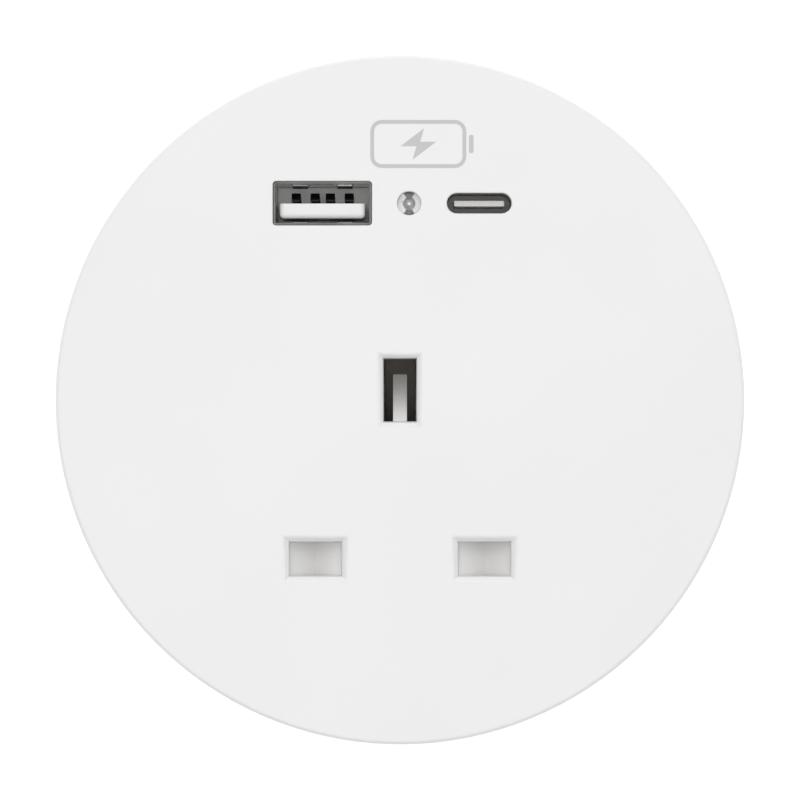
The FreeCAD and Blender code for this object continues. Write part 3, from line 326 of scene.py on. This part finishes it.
finish = {
    "white_plastic": plastic("face_plastic", (0.87, 0.87, 0.868), 0.4, grain=0.06, cloud=0.006),
    # Painted shade: the shutter's pads are a darker copy of the white plastic, standing in for the shade
    # in their recess
    "shutter_plastic": plastic("shutter_plastic", (0.79, 0.783, 0.776), 0.42),
    "tube_plastic": plastic("tube_plastic", (0.7, 0.7, 0.69), 0.5, grain=0.35, cloud=0.05),
    "inner_plastic": plastic("inner_plastic", (0.15, 0.137, 0.125), 0.5, grain=0.3),
    "black_plastic": plastic("black_plastic", (0.02, 0.02, 0.022), 0.42, grain=0.3),
    "seal": plastic("seal_foam", (0.035, 0.035, 0.037), 0.85, grain=0.9, grain_size=0.00045, cloud=0.15),
    "brass": metal("brass", (0.79, 0.58, 0.28), (0.55, 0.36, 0.16), 0.28),
    "steel": metal("tinned_steel", (0.74, 0.735, 0.725), (0.55, 0.54, 0.52), 0.22, stain_amount=0.2),
    "screw_steel": metal("zinc_plate", (0.66, 0.67, 0.69), (0.5, 0.5, 0.46), 0.3),
    "nickel": metal("nickel_plate", (0.68, 0.66, 0.62), (0.45, 0.42, 0.36), 0.22),
    "brown_jacket": plastic("brown_jacket", (0.13, 0.05, 0.022), 0.35),
    "blue_jacket": plastic("blue_jacket", (0.02, 0.09, 0.42), 0.35),
    "green_jacket": striped_jacket("earth_jacket", (0.03, 0.27, 0.04), (0.75, 0.62, 0.03), 0.35),
    "red_jacket": plastic("red_jacket", (0.42, 0.02, 0.015), 0.35),
    "barrier_sheet": plastic("barrier_sheet", (0.72, 0.68, 0.56), 0.5, cloud=0.1),
    "board_laminate": plastic("board_laminate", (0.015, 0.14, 0.05), 0.3, cloud=0.1),
    "clear_lens": clear_epoxy(),
    "ferrite": plastic("ferrite", (0.03, 0.03, 0.032), 0.5, grain=0.5, cloud=0.1),
    "winding_tape": plastic("winding_tape", (0.75, 0.52, 0.06), 0.25, cloud=0.1),
    "can": plastic("capacitor_sleeve", (0.02, 0.03, 0.09), 0.3),
    "disc_capacitor": plastic("disc_coat", (0.02, 0.12, 0.4), 0.25),
}
# Painted shade: the USB-A port's contact springs are near-black, standing in for the shade deep inside
# the port
contact_painted_shade = metal("contact_painted_shade", (0.035, 0.033, 0.031), (0.02, 0.019, 0.018), 0.6)
contact_plate = metal("contact_plate", (0.62, 0.6, 0.56), (0.5, 0.47, 0.4), 0.6)
# Painted shade: the earth contact's bronze is darkened to stand in for the shade deep in the earth slot
earth_contact_shade_darkened = metal("bronze_painted_shade", (0.096, 0.086, 0.075), (0.05, 0.044, 0.04), 0.45)
# Painted shade: a darker steel on the shell mouth's up-facing faces, which hides the light they catch
# from above
mouth_steel_painted_shade = metal("mouth_steel_painted_shade", (0.18, 0.176, 0.172), (0.09, 0.09, 0.085), 0.5, stain_amount=0.5)
# Painted shade: a darker steel on the shell's up-facing inner faces and tabs, which darkens the light
# they catch from above
inner_steel_painted_shade = metal("inner_steel_painted_shade", (0.33, 0.326, 0.32), (0.21, 0.205, 0.2), 0.45, stain_amount=0.4)
# Painted light: the shutter's ramp is a lighter copy of the shutter plastic, lifting the shade in its
# deep part
ramp_painted_light = plastic("ramp_painted_light", (0.95, 0.938, 0.925), 0.38)
# Painted light: the USB-A port's back wall is a lighter copy of the tongue's plastic, lifting the shade
# deep in the port
back_wall_painted_light = plastic("port_back_painted_light", (0.92, 0.915, 0.9), 0.4)
# Painted shade: a darker copy of the USB-C moulding on its deep up-facing faces, standing in for the
# shade inside the socket
socket_floor_painted_shade = plastic("socket_floor_painted_shade", (0.4, 0.392, 0.385), 0.45)
cheek_plastic = plastic("cheek_plastic", (0.93, 0.93, 0.93), 0.5)
tongue_plastic = plastic("tongue_plastic", (0.85, 0.85, 0.846), 0.4, grain=0.06, cloud=0.01)
port_moulding = plastic("port_moulding", (0.69, 0.675, 0.66), 0.4)
# Painted shade: the indicator's lead frame is dark grey, standing in for the shade it sits in inside the
# lens
lead_frame_shade_darkened = metal("lead_frame_painted_shade", (0.26, 0.255, 0.25), (0.2, 0.19, 0.18), 0.5,
               lines=0.1, stain_amount=0.15)
crystal = plastic("light_crystal", (0.8, 0.78, 0.84), 0.25, grain=0.05)
print_ink = plastic("print_ink", (0.585, 0.585, 0.59), 0.5, grain=0.05, cloud=0.01)
node_finish = {
    "usb_a_contacts": contact_painted_shade,
    "earth_contact": earth_contact_shade_darkened,
    "usb_c_tongue": port_moulding,
    "usb_a_tongue": tongue_plastic,
    "usb_c_contacts": contact_plate,
}


# Pieces
def flat_regions(mesh):
    """The area of the flat region that each face is part of."""
    area_of = {}
    for face in mesh.faces:
        if face in area_of:
            continue
        area_of[face] = 0
        region = [face]
        for member in region:
            for edge in member.edges:
                for other in edge.link_faces:
                    if other not in area_of and member.normal.dot(other.normal) > same_plane:
                        area_of[other] = 0
                        region.append(other)
        total = sum(member.calc_area() for member in region)
        for member in region:
            area_of[member] = total
    return area_of


def corner_normals(mesh, limit):
    """Normals that keep flats flat and run smoothly over roundings: large flat regions weigh more."""
    area_of = flat_regions(mesh)
    normals = []
    for face in mesh.faces:
        for vert in face.verts:
            total = Vector()
            for other in vert.link_faces:
                if face.normal.dot(other.normal) > limit:
                    total += other.normal * area_of[other]
            normals.append(total.normalized() if total.length > 0 else face.normal.copy())
    return normals


def dressed(piece, body, slot, material=None):
    """Puts a new piece on its body with its finish."""
    piece.data.materials.clear()
    piece.data.materials.append(material or finish[slot])
    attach(piece, body)
    return piece


def piece_from(mesh, name, limit=smooth_limit):
    """An object of the mesh under construction, shaded smoothly up to the limit."""
    data = bpy.data.meshes.new(name)
    mesh.normal_update()
    normals = corner_normals(mesh, limit)
    mesh.to_mesh(data)
    mesh.free()
    data.polygons.foreach_set("use_smooth", [True] * len(data.polygons))
    data.normals_split_custom_set(normals)
    piece = bpy.data.objects.new(name, data)
    bpy.context.scene.collection.objects.link(piece)
    return piece


def touching_runs(edges):
    """Groups edges that touch, so that each run is rounded as far as its own place allows."""
    left = set(edges)
    found = []
    while left:
        run = [left.pop()]
        for edge in run:
            for vert in edge.verts:
                for other in vert.link_edges:
                    if other in left:
                        left.discard(other)
                        run.append(other)
        found.append(run)
    return found


def is_outlet_lip(node, run):
    """Tells the runs of edges round the outlet's three slots."""
    if node != "faceplate":
        return False
    points = [vert.co for edge in run for vert in edge.verts]
    near = max(math.hypot(point.x, point.y) for point in points) < outlet_reach
    return near and max(point.y for point in points) < outlet_top_y


def is_mitre(edge):
    """Tells the sloping corner lines of a slot's bevelled edge from its level and its upright ones."""
    along = edge.verts[1].co - edge.verts[0].co
    return abs(along.z) > weld and math.hypot(along.x, along.y) > abs(along.z) / 2


def round_edges(mesh, edges, width, segments=edge_segments):
    """Rounds edges off by a width in millimetres, or by less where there is no room."""
    bmesh.ops.bevel(mesh, geom=edges, offset=width * mm, offset_type="OFFSET", segments=segments,
                    profile=0.5, affect="EDGES", clamp_overlap=True)


def soften_tongue(mesh):
    """Rounds the tongue's front towards its foot and ends, and leaves it crisp on the contact side."""
    front = max(vert.co.z for vert in mesh.verts)
    start = front - tongue_rounding
    for step in range(tongue_steps):
        level = front - tongue_rounding * (1 - math.sin(math.pi / 2 * step / tongue_steps))
        everything = list(mesh.verts) + list(mesh.edges) + list(mesh.faces)
        bmesh.ops.bisect_plane(mesh, geom=everything, plane_co=(0, 0, level), plane_no=(0, 0, 1))
    mesh.normal_update()
    moves = []
    for vert in mesh.verts:
        height = vert.co.z - start
        if height < weld:
            continue
        sides = [face.normal for face in vert.link_faces
                 if abs(face.normal.z) < facing and face.normal.y < sideways]
        if sides:
            outward = sum(sides, Vector()).normalized()
            inset = tongue_rounding - math.sqrt(max(tongue_rounding**2 - height**2, 0))
            moves.append((vert, outward * -inset))
    for vert, move in moves:
        vert.co += move


def in_rim(point):
    """Tells the points on the rounding of the face's rim."""
    outside = math.hypot(point.x, point.y) > face_radius - rim_rounding - rim_margin
    return outside and point.z > face_top - rim_rounding - rim_margin


def even_rim(mesh):
    """Makes the rounding of the face's rim anew, in even steps all round."""
    rounding = [face for face in mesh.faces if all(in_rim(vert.co) for vert in face.verts)]
    bmesh.ops.delete(mesh, geom=rounding, context="FACES")
    open_edges = [edge for edge in mesh.edges if edge.is_boundary]
    bridge = bmesh.ops.bridge_loops(mesh, edges=open_edges)["faces"]
    across = {edge for face in bridge for edge in face.edges
              if abs(edge.verts[0].co.z - edge.verts[1].co.z) > rim_rounding / 2}
    bmesh.ops.subdivide_edges(mesh, edges=list(across), cuts=rim_steps - 1, use_grid_fill=True)
    for vert in mesh.verts:
        drop = face_top - vert.co.z
        if in_rim(vert.co) and rim_margin < drop < rim_rounding - rim_margin:
            turn = math.pi / 2 * drop / rim_rounding
            radius = face_radius - rim_rounding * (1 - math.sin(turn))
            around = math.atan2(vert.co.y, vert.co.x)
            vert.co = (radius * math.cos(around), radius * math.sin(around),
                       face_top - rim_rounding * (1 - math.cos(turn)))
    bmesh.ops.recalc_face_normals(mesh, faces=mesh.faces)


def is_trough(edge):
    """Tells the lowest lines of the shutter's two shallow troughs, which stay as drawn."""
    return not edge.is_convex and abs(edge.verts[0].co.y - edge.verts[1].co.y) > trough_length


def softened(node, width):
    """Stands for a CAD node with every edge rounded off by the given width in millimetres."""
    mesh = bmesh.new()
    mesh.from_mesh(frame["nodes"][node].data)
    bmesh.ops.remove_doubles(mesh, verts=mesh.verts, dist=weld)
    bmesh.ops.join_triangles(mesh, faces=mesh.faces, angle_face_threshold=coplanar,
                             angle_shape_threshold=3.0)
    if node == "faceplate":
        even_rim(mesh)
    if node == "usb_a_tongue":
        soften_tongue(mesh)
    run_of = mesh.edges.layers.int.new("run")
    sharp = [edge for edge in mesh.edges if edge.is_manifold and edge.calc_face_angle(0) > crease]
    if node == "shutter":
        sharp = [edge for edge in sharp if not is_trough(edge)]
    runs = touching_runs(sharp)
    for number, run in enumerate(runs, first_run):
        lip = is_outlet_lip(node, run)
        for edge in run:
            edge[run_of] = number
            if lip and is_mitre(edge):
                edge[run_of] = left_sharp
            elif lip:
                upper = min(vert.co.z for vert in edge.verts) > face_top - weld
                edge[run_of] = upper_lip if upper else inner_lip
    for number in range(upper_lip, first_run + len(runs)):
        chosen = [edge for edge in mesh.edges if edge[run_of] == number]
        if number == upper_lip:
            round_edges(mesh, chosen, outlet_lip, segments=lip_segments)
        elif number == inner_lip:
            round_edges(mesh, chosen, outlet_inner_lip)
        elif chosen:
            round_edges(mesh, chosen, width)
    piece = piece_from(mesh, node + "_finished", trough_limit if node == "shutter" else smooth_limit)
    dressed(piece, body_of[node], slot_of[node], node_finish.get(node))
    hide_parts(node)
    return piece


def paint_light_and_shade(piece, material, wanted):
    """Gives the faces that pass the test another material, which paints light or shade on them."""
    piece.data.materials.append(material)
    index = len(piece.data.materials) - 1
    for face in piece.data.polygons:
        if wanted(face):
            face.material_index = index


finished = {}
for node, slot in slot_of.items():
    frame["nodes"][node].data.materials.clear()
    frame["nodes"][node].data.materials.append(node_finish.get(node, finish[slot]))
    width = edge_of_node.get(node, edge_of_slot.get(slot))
    if width and node not in left_as_drawn:
        finished[node] = softened(node, width)

# Painted light and shade: darker steel on the USB-A shell's up-facing faces, a lighter ramp and port back
# wall, a darker USB-C socket floor
paint_light_and_shade(finished["usb_a_shell"], inner_steel_painted_shade,
          lambda face: face.normal.z > leaning and face.center.z < port_mouth - mouth_band)
paint_light_and_shade(finished["usb_a_shell"], mouth_steel_painted_shade,
          lambda face: face.normal.z > facing and face.center.z > port_mouth - mouth_band)
paint_light_and_shade(finished["shutter"], ramp_painted_light,
          lambda face: abs(face.center.x) < ramp_reach and face.center.y > ramp_start)
paint_light_and_shade(finished["usb_a_tongue"], back_wall_painted_light,
          lambda face: face.normal.z > facing and face.center.z < port_mouth - usb_a_back_depth)
paint_light_and_shade(finished["usb_c_tongue"], socket_floor_painted_shade,
          lambda face: face.normal.z > facing and face.center.z < port_mouth - usb_c_floor_depth)


def make_return_spring():
    """The shutter's spring as drawn, carried on the shutter's body."""
    mesh = bmesh.new()
    mesh.from_mesh(frame["nodes"]["shutter_spring"].data)
    bmesh.ops.remove_doubles(mesh, verts=mesh.verts, dist=weld)
    spring = piece_from(mesh, "return_spring")
    dressed(spring, "shutter_body", "steel")
    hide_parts("shutter_spring")
    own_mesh(spring)


make_return_spring()


def turned_mesh(profile, x, y, steps=64):
    """A turned solid about an upright axis, from (radius, height) pairs from axis to axis."""
    mesh = bmesh.new()
    rings = []
    for radius, z in profile:
        if radius == 0:
            rings.append([mesh.verts.new((x, y, z))] * steps)
            continue
        turns = [2 * math.pi * step / steps for step in range(steps)]
        rings.append([mesh.verts.new((x + radius * math.cos(turn), y + radius * math.sin(turn), z))
                      for turn in turns])
    for lower, upper in zip(rings, rings[1:]):
        for step in range(steps):
            corners = dict.fromkeys([lower[step - 1], lower[step], upper[step], upper[step - 1]])
            mesh.faces.new(list(corners))
    bmesh.ops.recalc_face_normals(mesh, faces=mesh.faces)
    return mesh


def add_prism(mesh, outline, low, high, axis="z"):
    """A prism from low to high along z on an outline in x and y, or along x on one in y and z."""
    def corner(u, v, w):
        return (u, v, w) if axis == "z" else (w, u, v)

    bottom = [mesh.verts.new(corner(u, v, low)) for u, v in outline]
    top = [mesh.verts.new(corner(u, v, high)) for u, v in outline]
    faces = [mesh.faces.new(bottom), mesh.faces.new(top)]
    for index in range(len(outline)):
        faces.append(mesh.faces.new([bottom[index - 1], bottom[index], top[index], top[index - 1]]))
    bmesh.ops.recalc_face_normals(mesh, faces=faces)


def add_band(mesh, outer, inner, low, high):
    """A closed band between two outlines with the same number of points."""
    loops = []
    for outline, z in ((outer, low), (outer, high), (inner, high), (inner, low)):
        loops.append([mesh.verts.new((u, v, z)) for u, v in outline])
    faces = []
    for near, far in zip(loops, loops[1:] + loops[:1]):
        for index in range(len(near)):
            faces.append(mesh.faces.new([near[index - 1], near[index], far[index], far[index - 1]]))
    bmesh.ops.recalc_face_normals(mesh, faces=faces)


def rounded_outline(x, y, width, height, corner, steps=6):
    """A rectangle's outline with rounded corners."""
    points = []
    for quarter, (side_x, side_y) in enumerate(((1, 1), (-1, 1), (-1, -1), (1, -1))):
        for step in range(steps + 1):
            turn = math.pi / 2 * (quarter + step / steps)
            points.append((x + side_x * (width / 2 - corner) + corner * math.cos(turn),
                           y + side_y * (height / 2 - corner) + corner * math.sin(turn)))
    return points


# Indicator: clear lens, lead frame with its cup, crystal, bond wire and white holder
led_x = (lens_low.x + lens_high.x) / 2
led_y = (lens_low.y + lens_high.y) / 2
led_bottom = lens_low.z
led_top = lens_high.z
lens_radius = 1.535 * mm
dome_height = 0.6 * mm
flange_radius = (lens_high.x - lens_low.x) / 2
flange_height = 1.0 * mm
dome_z = led_top - dome_height
dome_steps = 24
frame_thickness = 0.6 * mm
cup_top = dome_z - 1.6 * mm
cup_depth = 0.3 * mm
cup_radius = 0.42 * mm
cup_floor = cup_top - cup_depth
cup_foot = cup_floor - 0.1 * mm
lead_offset = 1.27 * mm


def make_lens():
    """The clear body: a flange at the foot, an upright side and a low dome."""
    round_off = 0.12 * mm
    flange_top = led_bottom + flange_height
    profile = [(0, led_bottom), (flange_radius - round_off, led_bottom)]
    profile += [(flange_radius, led_bottom + round_off), (flange_radius, flange_top - round_off)]
    profile += [(flange_radius - round_off, flange_top), (lens_radius, flange_top)]
    for step in range(dome_steps):
        turn = math.pi / 2 * step / dome_steps
        profile.append((lens_radius * math.cos(turn), dome_z + dome_height * math.sin(turn)))
    profile.append((0, led_top))
    lens = piece_from(turned_mesh(profile, led_x, led_y, steps=96), "clear_lens")
    dressed(lens, "module", "clear_lens")
    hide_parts("status_led")


def make_lead_frame():
    """The two leads as the CAD has them, carried on inside the lens to the cup and to the post."""
    mesh = bmesh.new()
    mesh.from_mesh(frame["nodes"]["led_leads"].data)
    half = frame_thickness / 2
    anvil = [(1.5, 0.02), (1.04, 0.02), (0.7, 1.2), (-0.2, 1.5)]
    anvil = [(led_y + v * mm, led_bottom + w * mm) for v, w in anvil]
    anvil += [(led_y - 0.35 * mm, cup_foot), (led_y + 0.45 * mm, cup_foot)]
    anvil += [(led_y + 1.1 * mm, led_bottom + 1.6 * mm)]
    add_prism(mesh, anvil, led_x - half, led_x + half, axis="x")
    post = [(-1.04, 0.02), (-1.5, 0.02), (-1.2, 1.4), (-1.15, 1.8)]
    post = [(led_y + v * mm, led_bottom + w * mm) for v, w in post]
    post += [(led_y - 1.1 * mm, cup_top - 0.15 * mm), (led_y - 0.9 * mm, cup_top)]
    post += [(led_y - 0.68 * mm, cup_top - 0.1 * mm), (led_y - 0.6 * mm, led_bottom + 1.8 * mm)]
    add_prism(mesh, post, led_x - half, led_x + half, axis="x")
    underside = cup_foot - 0.05 * mm
    profile = [(0, underside), (0.32 * mm, underside), (cup_radius, cup_top - 0.1 * mm)]
    profile += [(cup_radius, cup_top), (cup_radius - 0.07 * mm, cup_top)]
    profile += [(0.22 * mm, cup_floor), (0, cup_floor)]
    cup = turned_mesh(profile, led_x, led_y, steps=48)
    cup_data = bpy.data.meshes.new("cup")
    cup.to_mesh(cup_data)
    cup.free()
    mesh.from_mesh(cup_data)
    leads = piece_from(mesh, "lead_frame")
    dressed(leads, "module", "nickel", lead_frame_shade_darkened)
    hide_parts("led_leads")


def make_cheeks():
    """Two white reflector cheeks inside the lens, left and right of the lead frame."""
    mesh = bmesh.new()
    inner = 0.78 * mm
    outer = 1.4 * mm
    sweep = math.radians(62)
    steps = 16
    for side in (0, math.pi):
        turns = [side - sweep + 2 * sweep * step / steps for step in range(steps + 1)]
        arcs = [(outer, turn) for turn in turns] + [(inner, turn) for turn in reversed(turns)]
        outline = [(led_x + radius * math.cos(turn), led_y + radius * math.sin(turn))
                   for radius, turn in arcs]
        add_prism(mesh, outline, led_bottom + 0.3 * mm, dome_z - 0.35 * mm)
    dressed(piece_from(mesh, "led_cheeks"), "module", "white_plastic", cheek_plastic)


def square_around(x, y, half):
    """A square's outline, by its middle and half its width."""
    return [(x - half, y - half), (x + half, y - half), (x + half, y + half), (x - half, y + half)]


def make_crystal():
    """The light crystal on the cup's floor."""
    mesh = bmesh.new()
    add_prism(mesh, square_around(led_x, led_y, 0.14 * mm), cup_floor, cup_floor + 0.12 * mm)
    round_edges(mesh, list(mesh.edges), crystal_edge)
    dressed(piece_from(mesh, "led_crystal"), "module", "white_plastic", crystal)


def make_bond_wire():
    """The fine wire from the crystal over to the post."""
    curve = bpy.data.curves.new("bond_wire", "CURVE")
    curve.dimensions = "3D"
    curve.bevel_depth = 0.018 * mm
    curve.bevel_resolution = 3
    wire = curve.splines.new("NURBS")
    places = [(0, cup_floor + 0.1 * mm), (-0.1 * mm, cup_top + 0.25 * mm)]
    places += [(-0.5 * mm, cup_top + 0.35 * mm), (-0.88 * mm, cup_top - 0.02 * mm)]
    wire.points.add(len(places) - 1)
    for point, (y, z) in zip(wire.points, places):
        point.co = (led_x, led_y + y, z, 1)
    wire.order_u = 3
    wire.use_endpoint_u = True
    loop = bpy.data.objects.new("bond_wire", curve)
    bpy.context.scene.collection.objects.link(loop)
    curve.materials.append(finish["brass"])
    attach(loop, "module")


def make_holder():
    """The white cup that holds the indicator below the face, with two holes for its leads."""
    outer = 2.5 * mm
    inner = flange_radius + 0.08 * mm
    top = face_top - 2.45 * mm
    bottom = led_bottom - 0.8 * mm
    floor = led_bottom - 0.03 * mm
    profile = [(0, bottom), (outer - 0.1 * mm, bottom), (outer, bottom + 0.1 * mm), (outer, top)]
    profile += [(inner, top), (inner, floor), (0, floor)]
    holder = piece_from(turned_mesh(profile, led_x, led_y), "solid_holder")
    holes = bmesh.new()
    for side in (-1, 1):
        around_lead = square_around(led_x, led_y + side * lead_offset, 0.28 * mm)
        add_prism(holes, around_lead, bottom - mm, floor + mm)
    cutter = piece_from(holes, "lead_holes")
    cut = holder.modifiers.new("lead_holes", "BOOLEAN")
    cut.operation = "DIFFERENCE"
    cut.object = cutter
    cut.solver = "EXACT"
    bpy.context.view_layer.update()
    evaluated = holder.evaluated_get(bpy.context.evaluated_depsgraph_get())
    bored = bmesh.new()
    bored.from_mesh(evaluated.to_mesh())
    bpy.data.objects.remove(holder)
    bpy.data.objects.remove(cutter)
    dressed(piece_from(bored, "led_holder"), "module", "white_plastic")


make_lens()
make_lead_frame()
make_cheeks()
make_crystal()
make_bond_wire()
make_holder()


# Printed battery mark above the ports
mark_x = 2.9 * mm
mark_y = 33.6 * mm


def make_battery_mark():
    """A battery's outline with its nub, and a bolt inside."""
    mesh = bmesh.new()
    low = face_top - 0.01 * mm
    high = face_top + 0.012 * mm
    line = 0.5 * mm
    shell_x = mark_x - 0.5 * mm
    width = 12.6 * mm
    height = 6.3 * mm
    corner = 1.5 * mm
    outer = rounded_outline(shell_x, mark_y, width, height, corner)
    inner = rounded_outline(shell_x, mark_y, width - 2 * line, height - 2 * line, corner - line)
    add_band(mesh, outer, inner, low, high)
    nub_x = shell_x + width / 2 + 0.65 * mm
    add_prism(mesh, rounded_outline(nub_x, mark_y, 0.6 * mm, 2.4 * mm, 0.25 * mm), low, high)
    bolt = [(0.75, 2.05), (-2.35, -0.3), (-0.25, -0.3), (-0.75, -2.05), (2.35, 0.3), (0.25, 0.3)]
    add_prism(mesh, [(shell_x + u * mm, mark_y + v * mm) for u, v in bolt], low, high)
    dressed(piece_from(mesh, "battery_mark"), "module", "white_plastic", print_ink)


def make_tighten_arrows():
    """Three raised arrows under the nut, pointing the way that draws it up."""
    mesh = bmesh.new()
    middle = 41.0 * mm
    half = 0.45 * mm
    head = 1.0 * mm
    tail = math.radians(18)
    tip = math.radians(2.6)
    steps = 12
    for number in range(3):
        start = math.radians(120 * number)
        outline = [(middle + half, start + tail * step / steps) for step in range(steps + 1)]
        outline += [(middle + head, start + tail), (middle, start + tail + tip)]
        outline += [(middle - head, start + tail)]
        outline += [(middle - half, start + tail * step / steps) for step in range(steps, -1, -1)]
        points = [(radius * math.cos(turn), radius * math.sin(turn)) for radius, turn in outline]
        add_prism(mesh, points, nut_bottom - 0.15 * mm, nut_bottom + 0.05 * mm)
    dressed(piece_from(mesh, "tighten_arrows"), "nut_body", "tube_plastic")


make_battery_mark()
make_tighten_arrows()


# Floor, light and camera
floor_half_width = 6.0
floor_gap = 0.05 * mm
floor_glow = 0.55


def make_floor():
    """A white floor below the base that only the camera sees, so that light from below passes it."""
    mesh = bmesh.new()
    bmesh.ops.create_grid(mesh, x_segments=1, y_segments=1, size=floor_half_width,
                          matrix=Matrix.Translation((0, 0, base_z - floor_gap)))
    floor = piece_from(mesh, "floor")
    material, tree, shader = blank_material("floor_white")
    shader.inputs["Base Color"].default_value = (0.9, 0.9, 0.9, 1)
    shader.inputs["Roughness"].default_value = 0.8
    shader.inputs["Specular IOR Level"].default_value = 0.1
    shader.inputs["Emission Color"].default_value = (1, 1, 1, 1)
    seen = tree.nodes.new("ShaderNodeLightPath").outputs["Is Camera Ray"]
    tree.links.new(calculate(tree, "MULTIPLY", seen, floor_glow), shader.inputs["Emission Strength"])
    clear = tree.nodes.new("ShaderNodeBsdfTransparent")
    choose = tree.nodes.new("ShaderNodeMixShader")
    tree.links.new(tree.nodes.new("ShaderNodeNewGeometry").outputs["Backfacing"], choose.inputs[0])
    tree.links.new(shader.outputs[0], choose.inputs[1])
    tree.links.new(clear.outputs[0], choose.inputs[2])
    tree.links.new(choose.outputs[0], tree.nodes["Material Output"].inputs["Surface"])
    floor.data.materials.append(material)
    floor.visible_diffuse = False
    floor.visible_glossy = False
    floor.visible_transmission = False
    floor.visible_shadow = False


def softbox(name, place, size, power):
    """A rectangular lamp that points at the middle of the face."""
    lamp = bpy.data.lights.new(name, "AREA")
    lamp.shape = "RECTANGLE"
    lamp.size, lamp.size_y = size
    lamp.energy = power
    holder = bpy.data.objects.new(name, lamp)
    bpy.context.scene.collection.objects.link(holder)
    holder.location = place
    holder.rotation_euler = (Vector() - Vector(place)).to_track_quat("-Z", "Y").to_euler()


def surround(above, around):
    """A white room that is brighter towards its walls than overhead."""
    world = bpy.data.worlds.new("studio")
    world.use_nodes = True
    tree = world.node_tree
    background = tree.nodes["Background"]
    background.inputs["Color"].default_value = (1, 1, 1, 1)
    direction = tree.nodes.new("ShaderNodeSeparateXYZ")
    tree.links.new(tree.nodes.new("ShaderNodeTexCoord").outputs["Generated"], direction.inputs[0])
    lowness = calculate(tree, "SUBTRACT", 1.0, direction.outputs["Z"], clamp=True)
    lowness = calculate(tree, "POWER", lowness, 2.0)
    strength = calculate(tree, "MULTIPLY_ADD", lowness, around, above)
    tree.links.new(strength, background.inputs["Strength"])
    bpy.context.scene.world = world


frame_pixels = 800
pixels_per_mm = 7.62
camera_distance = 0.7
sensor_width = 36.0


def make_camera():
    """A camera straight above the face, far enough away that the ports hardly narrow with depth."""
    camera = bpy.data.cameras.new("photo_view")
    camera.sensor_width = sensor_width
    seen_width = frame_pixels / pixels_per_mm * mm
    camera.lens = sensor_width * camera_distance / seen_width
    holder = bpy.data.objects.new("photo_view", camera)
    bpy.context.scene.collection.objects.link(holder)
    holder.location = (0, 0, face_top + camera_distance)
    bpy.context.scene.camera = holder


make_floor()
softbox("key", place=(0, 1.0, 1.0), size=(1.2, 1.2), power=7.0)
softbox("overhead", place=(0, 0, 1.5), size=(0.5, 0.5), power=5.3)
surround(above=0.395, around=0.615)
make_camera()
bpy.context.scene.view_settings.view_transform = "Standard"
